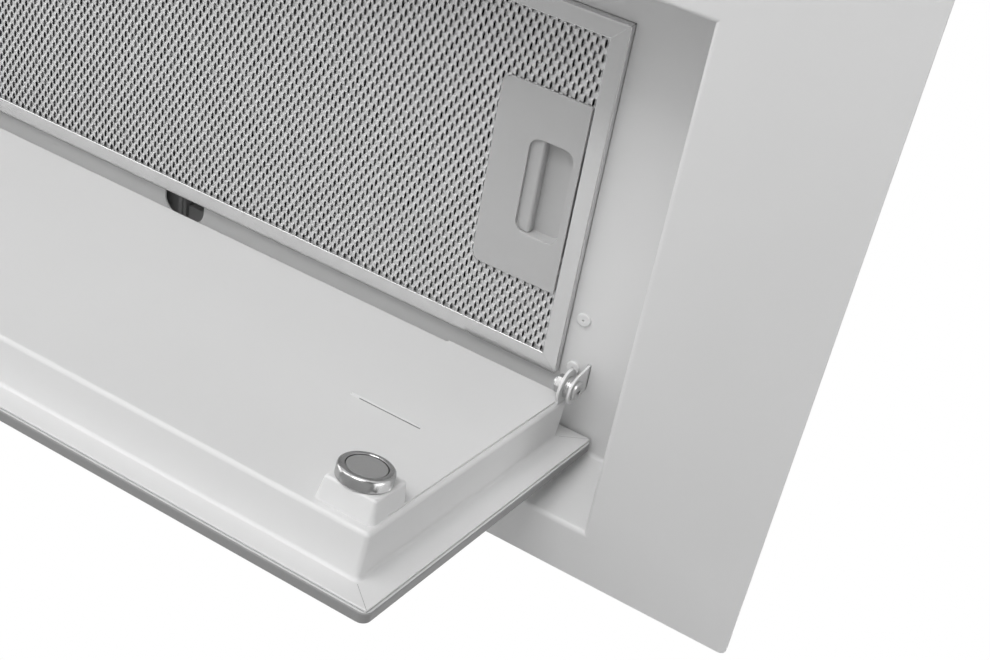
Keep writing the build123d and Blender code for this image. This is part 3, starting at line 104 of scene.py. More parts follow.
# %% [markdown]
# A studio for white goods is mostly white itself. The floor is pale and far below, so that it closes the
# view from above. The world is white to the eye and in reflections, and much weaker as a source of light,
# or it would wash the shadows out. Large soft lamps on all sides make the slow change of tone.

# %% Colour and node helpers
def linear(code):
    """A colour written as an sRGB hex code, in the linear values that a shader wants."""
    values = []
    for start in (0, 2, 4):
        share = int(code[start:start + 2], 16) / 255
        values.append(share / 12.92 if share <= 0.04045 else ((share + 0.055) / 1.055) ** 2.4)
    return (*values, 1.0)


def add_node(tree, kind, inputs=None, links=None, **settings):
    """Add one node, set its own settings and its inputs, and link outputs into it."""
    node = tree.nodes.new(kind)
    for key, value in settings.items():
        setattr(node, key, value)
    for key, value in (inputs or {}).items():
        node.inputs[key].default_value = value
    for key, source in (links or {}).items():
        tree.links.new(source, node.inputs[key])
    return node


print("mid grey in linear values", round(linear("808080")[0], 3))

# %% World
light_strength = 0.1
seen_strength = 1.0
white = linear("FFFFFF")
world = bpy.data.worlds.new("white_studio")
bpy.context.scene.world = world
world.use_nodes = True
tree = world.node_tree
tree.nodes.clear()
rays = add_node(tree, "ShaderNodeLightPath")
seen = add_node(tree, "ShaderNodeMath", operation="MAXIMUM",
                links={0: rays.outputs["Is Camera Ray"], 1: rays.outputs["Is Glossy Ray"]})
seen = add_node(tree, "ShaderNodeMath", operation="MAXIMUM",
                links={0: seen.outputs[0], 1: rays.outputs["Is Transmission Ray"]})
ambient = add_node(tree, "ShaderNodeBackground", inputs={"Color": white, "Strength": light_strength})
backdrop = add_node(tree, "ShaderNodeBackground", inputs={"Color": white, "Strength": seen_strength})
mix = add_node(tree, "ShaderNodeMixShader",
               links={0: seen.outputs[0], 1: ambient.outputs[0], 2: backdrop.outputs[0]})
add_node(tree, "ShaderNodeOutputWorld", links={"Surface": mix.outputs[0]})
print("world lights with", light_strength, "and shows", seen_strength)

# %% Soft lamps
def soft_lamp(name, place, target, size, power):
    """A square soft box that faces its target and isn't seen by the camera."""
    data = bpy.data.lights.new(name, "AREA")
    data.shape = "RECTANGLE"
    data.size = size
    data.size_y = size
    data.energy = power
    lamp = bpy.data.objects.new(name, data)
    bpy.context.scene.collection.objects.link(lamp)
    lamp.location = place
    lamp.rotation_mode = "QUATERNION"
    lamp.rotation_quaternion = (Vector(target) - Vector(place)).to_track_quat("-Z", "Y")
    lamp.visible_camera = False


# Each box stands at the same distance from the hood's middle, on the side that its direction gives. The
# second value is its power in watts.
hood_middle = Vector((0.1, 0.0, 0.0))
box_distance = 1.6
box_size = 1.0
boxes = {
    "front_low_box": ((0, -1, -0.15), 4.3),
    "front_below_box": ((0, -1, -0.7), 20.5),
    "left_front_below_box": ((-0.8, -0.8, -0.7), 8.5),
    "right_low_box": ((1, 0, -0.15), 6.8),
    "left_low_box": ((-1, 0, -0.2), 6.4),
    "rear_below_box": ((-0.8, 0.8, -0.8), 1.8),
    "top_box": ((-0.25, -0.5, 1), 10.0),
    "rear_box": ((0.2, 1, 0.5), 8.0),
}
for name, (way, power) in boxes.items():
    place = hood_middle + box_distance * Vector(way).normalized()
    soft_lamp(name, place, hood_middle, box_size, power)
print("soft boxes", len(boxes))

# %% Floor
floor_drop = 1.0
floor_half = 6.0
grid = bmesh.new()
bmesh.ops.create_grid(grid, x_segments=1, y_segments=1, size=floor_half)
bmesh.ops.translate(grid, verts=grid.verts, vec=(0, 0, -floor_drop))
floor_mesh = bpy.data.meshes.new("studio_floor")
grid.to_mesh(floor_mesh)
grid.free()
floor = bpy.data.objects.new("studio_floor", floor_mesh)
bpy.context.scene.collection.objects.link(floor)
print("floor at", -floor_drop)

# %% [markdown]
# Finishes. Each one starts from the real material and how its surface was made, with the pattern's size in
# millimetres, so that the same material looks right on a large plate and on a small bracket. Nothing real
# has one even tone, so noise lets the tone and the gloss of each wander between two close values.

# %% Material helpers
def new_material(name, **sockets):
    """A material with one Principled shader. Returns the material, its tree and the shader."""
    material = bpy.data.materials.new(name)
    material.use_nodes = True
    tree = material.node_tree
    tree.nodes.clear()
    shader = add_node(tree, "ShaderNodeBsdfPrincipled")
    for key, value in sockets.items():
        shader.inputs[key.replace("_", " ")].default_value = value
    add_node(tree, "ShaderNodeOutputMaterial", links={"Surface": shader.outputs["BSDF"]})
    print("material", name)
    return material, tree, shader


def noise(tree, size_mm, detail=2.0, stretch=(1, 1, 1)):
    """Soft noise whose patches have a real size, drawn out where a finish has a direction."""
    place = add_node(tree, "ShaderNodeTexCoord")
    mapping = add_node(tree, "ShaderNodeMapping", inputs={"Scale": stretch},
                       links={"Vector": place.outputs["Object"]})
    pattern = add_node(tree, "ShaderNodeTexNoise", inputs={"Scale": 1 / (size_mm * MM), "Detail": detail},
                       links={"Vector": mapping.outputs[0]})
    return pattern


def wander(tree, shader, tones, roughness, tone_by, gloss_by, height=None, depth_mm=0.0):
    """Let tone and roughness follow two factors, over a relief of a real depth if a height is given."""
    blend = add_node(tree, "ShaderNodeMix", data_type="RGBA", links={0: tone_by},
                     inputs={6: linear(tones[0]), 7: linear(tones[1])})
    tree.links.new(blend.outputs[2], shader.inputs["Base Color"])
    gloss = add_node(tree, "ShaderNodeMapRange", links={"Value": gloss_by},
                     inputs={"To Min": roughness[0], "To Max": roughness[1]})
    tree.links.new(gloss.outputs[0], shader.inputs["Roughness"])
    if height is not None:
        relief = add_node(tree, "ShaderNodeBump", links={"Height": height},
                          inputs={"Strength": 1.0, "Distance": depth_mm * MM})
        tree.links.new(relief.outputs[0], shader.inputs["Normal"])


def surface(name, tones, roughness, patch_mm, detail=2.0, stretch=(1, 1, 1), grain_mm=None, depth_mm=0.0,
            **sockets):
    """A material in patches of one noise. Its relief, if it has a depth, is the grain's or the patches'."""
    material, tree, shader = new_material(name, **sockets)
    patches = noise(tree, patch_mm, detail, stretch).outputs["Fac"]
    height = None
    if depth_mm:
        height = noise(tree, grain_mm).outputs["Fac"] if grain_mm else patches
    wander(tree, shader, tones, roughness, patches, patches, height, depth_mm)
    return material


# %% White powder coat
# Baked polyester powder on steel: a slightly waxy sheen, and an orange peel of about a millimetre.
powder_coat = surface("powder_coat_white", ("D9D9D9", "DCDCDC"), (0.42, 0.52), patch_mm=60, grain_mm=1.2,
                      depth_mm=0.012, IOR=1.5)

# %% Galvanised sheet
# Hot-dipped zinc freezes in leaves, called spangle, some 9 mm across, each with its own tone and sheen. The
# leaves' straight borders are bent by a softer noise.
leaf_mm = 9
bend_mm = 4
galvanised, tree, shader = new_material("galvanised_sheet", Metallic=1.0)
place = add_node(tree, "ShaderNodeTexCoord")
warp = noise(tree, 12)
shift = add_node(tree, "ShaderNodeVectorMath", operation="MULTIPLY_ADD", inputs={1: (bend_mm * MM,) * 3},
                 links={0: warp.outputs["Color"], 2: place.outputs["Object"]})
spangle = add_node(tree, "ShaderNodeTexVoronoi", inputs={"Scale": 1 / (leaf_mm * MM)},
                   links={"Vector": shift.outputs[0]})
leaf = add_node(tree, "ShaderNodeSeparateColor", links={0: spangle.outputs["Color"]})
fine = noise(tree, 1.0)
wander(tree, shader, ("9DA1A3", "B9BCBE"), (0.34, 0.52), leaf.outputs[0], leaf.outputs[1],
       fine.outputs["Fac"], depth_mm=0.01)

# %% Zinc-plated fasteners and motor parts
# Bright zinc over turned or pressed steel: a soft metal shine with faint marks.
zinc = surface("zinc_plate", ("A9ABAC", "C4C5C6"), (0.26, 0.4), patch_mm=1.5, detail=4.0, Metallic=1.0)

# %% Brushed filter rails
# Rolled stainless strip: hair lines along the strip, so its gloss is drawn out across them.
def brushed_strip(name, stretch):
    """Brushed stainless whose lines run along the axis that has the small scale."""
    return surface(name, ("DCDCDC", "E4E4E4"), (0.2, 0.28), patch_mm=0.35, detail=3.0, stretch=stretch,
                   depth_mm=0.004, Metallic=1.0)


rail_along_x = brushed_strip("stainless_strip_along_x", (0.02, 1, 1))
rail_along_y = brushed_strip("stainless_strip_along_y", (1, 0.02, 1))

# %% Expanded aluminium
# Slit and stretched foil of the outer layers: pale and matt for a metal, so its strands stay soft in tone.
expanded = surface("expanded_aluminium", ("DADADA", "E6E6E6"), (0.7, 0.8), patch_mm=2.5, detail=3.0,
                   Metallic=1.0)

# The foil of the core keeps more of its shine, so bright specks show between the strands.
inner_foil = surface("inner_foil", ("C0C0C0", "DADADA"), (0.35, 0.55), patch_mm=4.0, detail=3.0, Metallic=1.0)

# %% Plastics
gloss_spread = 0.04
patch_mm = 25


def moulded(name, tones, roughness, grain_mm, depth_mm):
    """Injection-moulded plastic with a fine, even grain from the tool."""
    glosses = (roughness - gloss_spread, roughness + gloss_spread)
    return surface(name, tones, glosses, patch_mm, grain_mm=grain_mm, depth_mm=depth_mm, IOR=1.5)


# The handle and the latch: light grey, with a satin sheen.
grey_abs = moulded("grey_abs", ("B6B6B6", "BABABA"), roughness=0.45, grain_mm=0.5, depth_mm=0.006)
# The duct behind the notch: a darker grey, and a little more matt.
duct_grey = moulded("grey_duct_pvc", ("A0A0A0", "AAAAAA"), roughness=0.5, grain_mm=0.8, depth_mm=0.01)
# Painted shade in the tray's mitre cuts and under its brackets' plates: a dark grey that draws each cut's
# shadow as a thin line.
painted_seam_shade = moulded("painted_seam_shade", ("7C7C7C", "868686"), roughness=0.6, grain_mm=0.5, depth_mm=0.004)
# Collar, flaps and boxes: black, with a grain that breaks up its reflections.
black_pp = moulded("black_polypropylene", ("1B1B1C", "242425"), roughness=0.5, grain_mm=0.8, depth_mm=0.02)
# Scroll and wheel: the glass fibres make it a cool dark grey, and duller than the black.
dark_nylon = moulded("glass_filled_nylon", ("3E4042", "4A4C4E"), roughness=0.55, grain_mm=0.9, depth_mm=0.02)
# Bezels, lamp driver and terminals: a slightly warm white.
white_pbt = moulded("white_pbt", ("D4D4D1", "DADAD8"), roughness=0.4, grain_mm=0.6, depth_mm=0.008)
# Buttons: smooth and glossy, as from a polished tool.
button_abs = moulded("button_abs", ("BFBFBF", "C6C6C6"), roughness=0.3, grain_mm=0.5, depth_mm=0.003)
# Lamp lenses: a milky face that hides the diodes.
frosted = moulded("frosted_acrylic", ("E2E2DF", "EAEAE8"), roughness=0.5, grain_mm=0.4, depth_mm=0.01)
# The motor's mounts: nearly black, and dull.
soft_rubber = moulded("soft_rubber", ("1E1E1E", "262626"), roughness=0.7, grain_mm=0.6, depth_mm=0.02)
# Tape between tray and glass: dark, rough and with no gloss.
foam_tape = moulded("foam_tape", ("2A2A2A", "363636"), roughness=0.85, grain_mm=0.4, depth_mm=0.03)

# %% Bright metals and magnets
# Nickel on the cups and nuts: bright, with reflections that are soft at their edges.
chrome = surface("bright_nickel", ("AEAEAE", "BCBCBC"), (0.17, 0.24), patch_mm=3.0, Metallic=1.0)

# Nickel on the screws and washers: tumbled, so it is paler and shows only a soft shine.
nickel = surface("tumbled_nickel", ("C6C6C6", "D6D6D6"), (0.3, 0.4), patch_mm=1.0, detail=3.0, Metallic=1.0)

# Sintered magnet: dull, fine-grained and mid grey.
magnet_grey = surface("sintered_magnet", ("858585", "929292"), (0.42, 0.55), patch_mm=0.6, detail=3.0,
                      depth_mm=0.01, IOR=1.6)

# %% Glass finishes
# Toughened glass, enamelled white on its inner side, so its faces are glossy white and its ground edge
# shows the glass itself, darker than the enamel.
pane_face = surface("enamelled_glass", ("DBDCDC", "DEDFDF"), (0.18, 0.22), patch_mm=80, IOR=1.52,
                    Coat_Weight=1.0, Coat_Roughness=0.02)
pane_edge = surface("ground_glass_edge", ("868686", "8E8E8E"), (0.6, 0.7), patch_mm=0.6, detail=3.0, IOR=1.52)

# %% Motor and electrical parts
# Stacked steel sheets: dark lines that run round the stack, one for each sheet's edge.
laminations = surface("steel_laminations", ("55565A", "77787B"), (0.4, 0.55), patch_mm=0.6,
                      stretch=(1, 0.02, 0.02), Metallic=1.0)

# Bushes pressed from bronze powder: a brown metal with small pores.
bronze = surface("sintered_bronze", ("8C6D3E", "A68550"), (0.35, 0.5), patch_mm=0.5, detail=3.0, Metallic=1.0)

# Circuit boards under green lacquer: glossy, with darker and lighter tracks beneath.
circuit_green = surface("solder_mask", ("0F4A22", "1B5F30"), (0.3, 0.4), patch_mm=3.0, detail=4.0, IOR=1.5)

# Hard-drawn wire: grey and fairly bright.
spring_steel = surface("spring_steel", ("8F9092", "A8A9AB"), (0.22, 0.34), patch_mm=0.8, Metallic=1.0)

# %% Floor finish
# Matt white paper: pale, with no gloss.
paper = surface("studio_paper", ("E4E4E4", "E8E8E8"), (0.85, 0.95), patch_mm=30, IOR=1.4)
floor.data.materials.append(paper)
print("materials", len(bpy.data.materials))

# %% [markdown]
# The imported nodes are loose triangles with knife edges. Where an edge shows, a copy of the node is merged,
# its coplanar triangles are joined, and a Bevel modifier rounds its edges by the radius that the real
# sheet or moulding has. The copy stands for the node, which stays in place for the physics.

# %% Merged copies of nodes
merge_distance = 0.002 * MM
flat_angle = math.radians(0.6)
smooth_angle = math.radians(32)


def smooth_by_angle(mesh_data):
    """Smooth faces, with edges kept sharp where the surface turns by more than the smooth angle."""
    shell = bmesh.new()
    shell.from_mesh(mesh_data)
    for face in shell.faces:
        face.smooth = True
    for edge in shell.edges:
        edge.smooth = edge.calc_face_angle(0) < smooth_angle
    shell.to_mesh(mesh_data)
    shell.free()


def merged_copy(node, joined=True):
    """A mesh of the node's shape with its doubles merged and, if asked, its flat triangles joined."""
    mesh_data = nodes[node].data.copy()
    mesh_data.name = node + "_finished"
    if mesh_data.attributes.get("custom_normal"):
        mesh_data.attributes.remove(mesh_data.attributes["custom_normal"])
    shell = bmesh.new()
    shell.from_mesh(mesh_data)
    bmesh.ops.remove_doubles(shell, verts=shell.verts, dist=merge_distance)
    if joined:
        bmesh.ops.dissolve_limit(shell, angle_limit=flat_angle, verts=shell.verts, edges=shell.edges)
    shell.to_mesh(mesh_data)
    shell.free()
    smooth_by_angle(mesh_data)
    return mesh_data


print("points closer than", merge_distance / MM, "mm are one")

# %% Rounded copies of nodes
bevel_angle = math.radians(40)
broad_segments = 4
area_weight = 80


def finish_piece(piece, node):
    """Make a new piece ride where its node rides and stand for it."""
    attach(piece, nodes[node]["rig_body"])
    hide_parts(node)


def broad_radius(mesh_data, wanted, radius_mm):
    """A larger radius on the edges that are wanted. Returns how many there are."""
    shell = bmesh.new()
    shell.from_mesh(mesh_data)
    chosen = [edge for edge in shell.edges if wanted(edge)]
    bmesh.ops.bevel(shell, geom=chosen, offset=radius_mm * MM, segments=broad_segments, profile=0.5,
                    affect="EDGES", material=-1)
    shell.to_mesh(mesh_data)
    shell.free()
    smooth_by_angle(mesh_data)
    return len(chosen)


def rounded(node, material, radius_mm, segments=2, wanted=None, wanted_mm=0.0, joined=True):
    """A copy of a node whose edges have a real radius, with its own finish."""
    mesh_data = merged_copy(node, joined)
    if wanted:
        print(node, "broad edges", broad_radius(mesh_data, wanted, wanted_mm))
    mesh_data.materials.clear()
    mesh_data.materials.append(material)
    piece = bpy.data.objects.new(node + "_finished", mesh_data)
    bpy.context.scene.collection.objects.link(piece)
    bevel = piece.modifiers.new("edge_radius", "BEVEL")
    bevel.width = radius_mm * MM
    bevel.segments = segments
    bevel.profile = 0.5
    bevel.limit_method = "ANGLE"
    bevel.angle_limit = bevel_angle
    bevel.use_clamp_overlap = False
    bevel.miter_outer = "MITER_SHARP"
    weighted = piece.modifiers.new("flat_faces_stay_flat", "WEIGHTED_NORMAL")
    weighted.mode = "FACE_AREA"
    weighted.weight = area_weight
    weighted.keep_sharp = False
    finish_piece(piece, node)
    print(node, "rounded by", radius_mm, "mm")
    return piece


def dress(node, material):
    """Give a node that keeps its own shape its finish."""
    for holder in nodes[node].material_slots:
        holder.material = material
    if not nodes[node].material_slots:
        nodes[node].data.materials.append(material)
    print(node, "dressed in", material.name)


# %% [markdown]
# Sheet steel: the trim plate, the recess pan, the tray and the brackets. A cut edge is never quite sharp
# once the coat is on, so it has a radius of about a quarter of a millimetre. The trim plate and the panel's
# brackets keep their own shape, because their bends are in the construction.

# %% Painted sheet
dress("trim_plate", powder_coat)
rounded("recess_pan", powder_coat, 0.2)
rounded("inner_tray", powder_coat, 0.25, 3)
dress("panel_brackets", powder_coat)
rounded("hinge_brackets", powder_coat, 0.2)
rounded("hinge_rivets", powder_coat, 0.1)

# %% [markdown]
# Above the cabinet's bottom everything is plain: bare galvanised casings, a moulded collar with two flaps,
# and a box for the electrics. Each has the radius of its bent edge or of its mould, and the screws and rivets
# have smaller ones.

# %% Casing, outlet and control box
rounded("base_casing", galvanised, 0.25)
rounded("motor_casing", galvanised, 0.25)
for name in ("casing_rivets", "motor_casing_screws", "collar_screws", "lid_screws"):
    rounded(name, zinc, 0.12)
rounded("outlet_collar", black_pp, 0.4)
rounded("damper_flap_front", black_pp, 0.3)
rounded("damper_flap_rear", black_pp, 0.3)
dress("damper_pins", zinc)
rounded("control_box", black_pp, 0.4)
rounded("control_box_lid", black_pp, 0.4)
rounded("cord_gland", black_pp, 0.4)
rounded("led_driver", white_pbt, 0.4)

# %% [markdown]
# The blower sits inside the casing, where no edge shows, so its pieces keep their own shape. A bevel on the
# wheel's many blades would only cost triangles.

# %% Blower
for name in ("scroll_right", "scroll_left", "impeller_wheel"):
    dress(name, dark_nylon)
for name in ("motor_shaft", "motor_case", "motor_end_cap", "motor_bracket", "blower_screws"):
    dress(name, zinc)
for name in ("motor_rotor", "motor_stator"):
    dress(name, laminations)
dress("motor_bearings", bronze)
dress("bracket_rubbers", soft_rubber)
dress("run_capacitor", zinc)
dress("circuit_board", circuit_green)
dress("terminal_block", white_pbt)

# %% [markdown]
# Lamps and buttons are let into the plate's front. They are small mouldings that are seen from close by, so
# each has the radius that its tool would leave.

# %% Lamps and buttons
rounded("lamp_bezels", white_pbt, 0.35)
rounded("lamp_lenses", frosted, 0.2)
dress("lamp_boards", circuit_green)
for name in ("light_button", "low_speed_button", "medium_speed_button", "high_speed_button"):
    rounded(name, button_abs, 0.2)
dress("button_board", circuit_green)
rounded("button_housing", black_pp, 0.3)

# %% [markdown]
# The filter's frame is rolled strip. The edge towards the mesh is folded over, so it has the largest radius,
# and light from the front runs along it as a bright line. A test picks those edges out by their place, their
# length and how sharply they turn.

# %% Filter frame, handle and latch
filter_low, filter_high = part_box("filter_long_rails")
filter_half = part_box("filter_side_rails")[1].x
rail_width = 7.4 * MM
side_play = 0.1 * MM
level_play = 0.05 * MM
shortest_rail = 50 * MM
sharp_turn = 1.0


def faces_mesh(edge):
    """True for a rail's lower edge on the side of the mesh."""
    middle = (edge.verts[0].co + edge.verts[1].co) / 2
    inside = (abs(middle.x) < filter_half - rail_width + side_play
              and filter_low.y + rail_width - side_play < middle.y < filter_high.y - rail_width + side_play)
    low = abs(middle.z - filter_low.z) < level_play
    return inside and low and edge.calc_length() > shortest_rail and edge.calc_face_angle(0) > sharp_turn


rounded("filter_long_rails", rail_along_x, 0.1, wanted=faces_mesh, wanted_mm=0.5)
rounded("filter_side_rails", rail_along_y, 0.1, wanted=faces_mesh, wanted_mm=0.5)
rounded("filter_tongues", rail_along_x, 0.15)
rounded("filter_handle", grey_abs, 0.3, 3, joined=False)
rounded("latch_slider", grey_abs, 0.35, 3)

# %% [markdown]
# Small turned parts hold the panel: a cross-slotted screw, washers and a nut on each side. Tumbling breaks
# their edges only a little, so the radii are fine. The tape under the tray keeps its own shape.

# %% Hinge
rounded("hinge_screws", nickel, 0.06)
rounded("hinge_washers", nickel, 0.12)
rounded("hinge_nuts", chrome, 0.2)
dress("adhesive_tape", foam_tape)

# %% [markdown]
# The pane is one solid of glass. Its two large faces get the enamel, and what lies between them, the ground
# edge and its small chamfers, gets the bare glass.

# %% Glass pane
face_share = 0.9
pane = rounded("glass_panel", pane_face, 0.12)
pane.data.materials.append(pane_edge)
largest = max(pane.data.polygons, key=lambda face: face.area)
across = largest.normal.copy()
for face in pane.data.polygons:
    if abs(face.normal.dot(across)) < face_share:
        face.material_index = 1
print("pane faces", len(pane.data.polygons))

# %% [markdown]
# Expanded metal is one sheet, slit in rows and pulled open, so that each strip between two slits runs in a
# zigzag: it touches the strip on its left at one bond and the strip on its right at the next. The strips
# also tilt, which gives the mesh its bright and dark diagonals. Here one strip is extruded bond by bond,
# and its copies, each moved by half a cell, make the sheet. A strip's neighbour starts with the other turn.
# Where the handle's tub goes through the filter, the strips stop before it and start again behind it.

# %% One strip of expanded metal
# A weave is how a sheet was slit and pulled: its cell, its strips' width, the foil's thickness, how far the
# strips tilt, the length of a bond and how uneven it all came out. An eased strip bends softly at its bonds,
# over a share of half a cell and with a share of its swing.
Weave = namedtuple("Weave", "cell strand foil tilt bond wobble eased")
ease_share = 0.12
ease_swing = 0.15


def zigzag_strip(weave, first, last):
    """A strip along Y: its cross-section is pushed from bond to bond, from the first to the last."""
    half_cell = weave.cell[1] / 2
    strip = bmesh.new()
    bmesh.ops.create_circle(strip, cap_ends=True, segments=4, radius=math.sqrt(0.5))
    bmesh.ops.rotate(strip, verts=strip.verts, matrix=Matrix.Rotation(math.radians(45), 3, "Z"))
    bmesh.ops.scale(strip, verts=strip.verts, vec=(weave.strand, weave.foil, 1))
    bmesh.ops.rotate(strip, verts=strip.verts, matrix=Matrix.Rotation(math.radians(90), 3, "X"))
    bmesh.ops.rotate(strip, verts=strip.verts, matrix=Matrix.Rotation(-weave.tilt, 3, "Y"))
    swing = Vector((weave.cell[0] / 2 - weave.strand * math.cos(weave.tilt), 0,
                    -weave.strand * math.sin(weave.tilt)))
    way = 1 if first % 2 else -1
    bmesh.ops.translate(strip, verts=strip.verts, vec=-way * swing / 2 + Vector((0, first * half_cell, 0)))
    end = list(strip.faces)
    stages = [(0.0, weave.bond), (1.0, half_cell - weave.bond)]
    if weave.eased:
        ease = (ease_swing, ease_share * half_cell)
        slope = (1 - 2 * ease_swing, half_cell - weave.bond - 2 * ease_share * half_cell)
        stages = [(0.0, weave.bond), ease, slope, ease]
    for step in range(first, last):
        for share, length in stages:
            made = bmesh.ops.extrude_face_region(strip, geom=end)
            fresh = [item for item in made["geom"] if isinstance(item, bmesh.types.BMVert)]
            bmesh.ops.translate(strip, verts=fresh, vec=way * share * swing + Vector((0, length, 0)))
            end = [item for item in made["geom"] if isinstance(item, bmesh.types.BMFace)]
        way = -way
    bmesh.ops.recalc_face_normals(strip, faces=strip.faces)
    mesh_data = bpy.data.meshes.new("strip")
    strip.to_mesh(mesh_data)
    strip.free()
    return mesh_data


# %% A sheet of strips
def expanded_sheet(name, box, height, weave, seed, tub, material, shares=(0, 1)):
    """Strips side by side over a box, with a hole where the tub is. The shares give which are made."""
    low, high = box
    step_x, step_y = weave.cell[0] / 2, weave.cell[1] / 2
    (tub_left, tub_right), (tub_front, tub_rear) = tub
    last = int((high.y - low.y) / step_y)
    whole = [(0, last)]
    parted = [(0, int((tub_front - low.y) / step_y)), (int((tub_rear - low.y) / step_y) + 1, last)]
    shapes = {}
    for turn in (0, 1):
        for first, end in whole + parted:
            shapes[turn, first, end] = zigzag_strip(weave, first + turn, end + turn)
    sheet = bmesh.new()
    chance = random.Random(seed)
    count = int((high.x - low.x) / step_x)
    made = range(int(shares[0] * count), int(shares[1] * count))
    for index in made:
        turn = index % 2
        x = low.x + (index + 0.5) * step_x
        crossing = tub_left - weave.strand < x < tub_right + weave.strand
        for first, end in (parted if crossing else whole):
            start = len(sheet.verts)
            sheet.from_mesh(shapes[turn, first, end])
            sheet.verts.ensure_lookup_table()
            place = Vector((x, low.y - turn * step_y, height))
            for vertex in sheet.verts[start:]:
                shift = [chance.uniform(-weave.wobble, weave.wobble) for axis in range(3)]
                vertex.co += place + Vector(shift)
    for shape in shapes.values():
        bpy.data.meshes.remove(shape)
    mesh_data = bpy.data.meshes.new(name)
    sheet.to_mesh(mesh_data)
    sheet.free()
    mesh_data.materials.append(material)
    piece = bpy.data.objects.new(name, mesh_data)
    bpy.context.scene.collection.objects.link(piece)
    print(name, "strips", len(made), "faces", len(mesh_data.polygons))
    return piece


# %% Weaves and tub
# The front layer is what the eye sees, so only its strips are eased. The tub's sides lie a little inside the
# handle's plate.
front_weave = Weave(cell=(3.6 * MM, 5.88 * MM), strand=1.62 * MM, foil=0.22 * MM, tilt=math.radians(-18),
                    bond=1.6 * MM, wobble=0.03 * MM, eased=True)
back_weave = front_weave._replace(strand=1.3 * MM, bond=0.9 * MM, eased=False)
core_weave = Weave(cell=(4.4 * MM, 7.4 * MM), strand=1.3 * MM, foil=0.3 * MM, tilt=front_weave.tilt,
                   bond=1.2 * MM, wobble=0.12 * MM, eased=False)
handle_low, handle_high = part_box("filter_handle")
tub_left_inset = 1.0 * MM
tub_right_inset = 1.5 * MM
tub = ((handle_low.x + tub_left_inset, handle_high.x - tub_right_inset), (-9.4 * MM, 34.9 * MM))
print("strips tilt by", round(math.degrees(front_weave.tilt)), "degrees")

# %% Front mesh
# Two halves keep each piece under 200,000 triangles.
front_seed = 3
front_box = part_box("filter_front_mesh")
front_height = (front_box[0].z + front_box[1].z) / 2
for side, shares in (("left", (0, 0.5)), ("right", (0.5, 1))):
    sheet = expanded_sheet("filter_front_strands_" + side, front_box, front_height, front_weave, front_seed,
                           tub, expanded, shares)
    finish_piece(sheet, "filter_front_mesh")

# %% Core mesh
# The core is two coarser layers at their own heights. The second leans by a radian more than the first, so
# that grease which passes one layer meets the other.
core_levels = (0.22, 0.72)
core_lean = 1.0
core_seed = 5
core_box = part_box("filter_core_mesh")
for index, level in enumerate(core_levels):
    height = core_box[0].z + level * (core_box[1].z - core_box[0].z)
    weave = core_weave._replace(tilt=core_weave.tilt - index * core_lean)
    sheet = expanded_sheet("filter_core_strands_" + str(index + 1), core_box, height, weave, core_seed + index,
                           tub, inner_foil)
    finish_piece(sheet, "filter_core_mesh")

# %% Back mesh
back_seed = 9
back_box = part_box("filter_back_mesh")
back_height = (back_box[0].z + back_box[1].z) / 2
sheet = expanded_sheet("filter_back_strands", back_box, back_height, back_weave, back_seed, tub, expanded)
finish_piece(sheet, "filter_back_mesh")

# %% [markdown]
# A few small things that the imported nodes leave out. The floor's opening has a rolled lip that comes close
# to the filter, so only a hair line stays dark between them. The tray's flange is cut at 45 degrees in each
# corner, and a thin dark strip in that cut paints its shade. Through the rounded notch behind the filter, part
# of a grey wiring duct shows. Each is made of bars, because a cube with a bevel is all that such a strip
# needs.

# %% Bars with soft edges
def soft_bar(shell, x, y, z, radius):
    """Add a bar that fills three ranges to a bmesh, its edges rounded."""
    low = Vector((x[0], y[0], z[0]))
    size = Vector((x[1], y[1], z[1])) - low
    made = bmesh.ops.create_cube(shell, size=1.0)["verts"]
    bmesh.ops.scale(shell, verts=made, vec=size)
    bmesh.ops.translate(shell, verts=made, vec=low + size / 2)
    edges = {edge for vertex in made for edge in vertex.link_edges}
    bmesh.ops.bevel(shell, geom=list(edges), offset=radius, segments=2, profile=0.5, affect="EDGES",
                    material=-1)


def new_piece(name, shell, material, body):
    """Turn a bmesh into a piece with one material that rides on a body."""
    mesh_data = bpy.data.meshes.new(name)
    shell.to_mesh(mesh_data)
    shell.free()
    smooth_by_angle(mesh_data)
    mesh_data.materials.append(material)
    piece = bpy.data.objects.new(name, mesh_data)
    bpy.context.scene.collection.objects.link(piece)
    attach(piece, body)
    print(name, "faces", len(mesh_data.polygons))
    return piece


# %% Rolled lip of the opening
# The lip runs round the filter, from near it to a little further out, and leaves the notch at the rear open.
lip_near = 0.08 * MM
lip_far = 0.8 * MM
lip_rise = 3.27 * MM
lip_roll = 0.15 * MM
notch_x = (-13.5 * MM, 8.5 * MM)
lip_z = (filter_low.z + lip_rise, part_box("recess_pan")[1].z)
inner_x = filter_half + lip_near
outer_x = filter_half + lip_far
front_y = (filter_low.y - lip_far, filter_low.y - lip_near)
rear_y = (filter_high.y + lip_near, filter_high.y + lip_far)
side_y = (front_y[1], rear_y[0])
runs = [((-outer_x, -inner_x), side_y), ((inner_x, outer_x), side_y), ((-outer_x, outer_x), front_y),
        ((-outer_x, notch_x[0]), rear_y), ((notch_x[1], outer_x), rear_y)]
lip = bmesh.new()
for x, y in runs:
    soft_bar(lip, x, y, lip_z, lip_roll)
new_piece("opening_lip", lip, powder_coat, "hood")
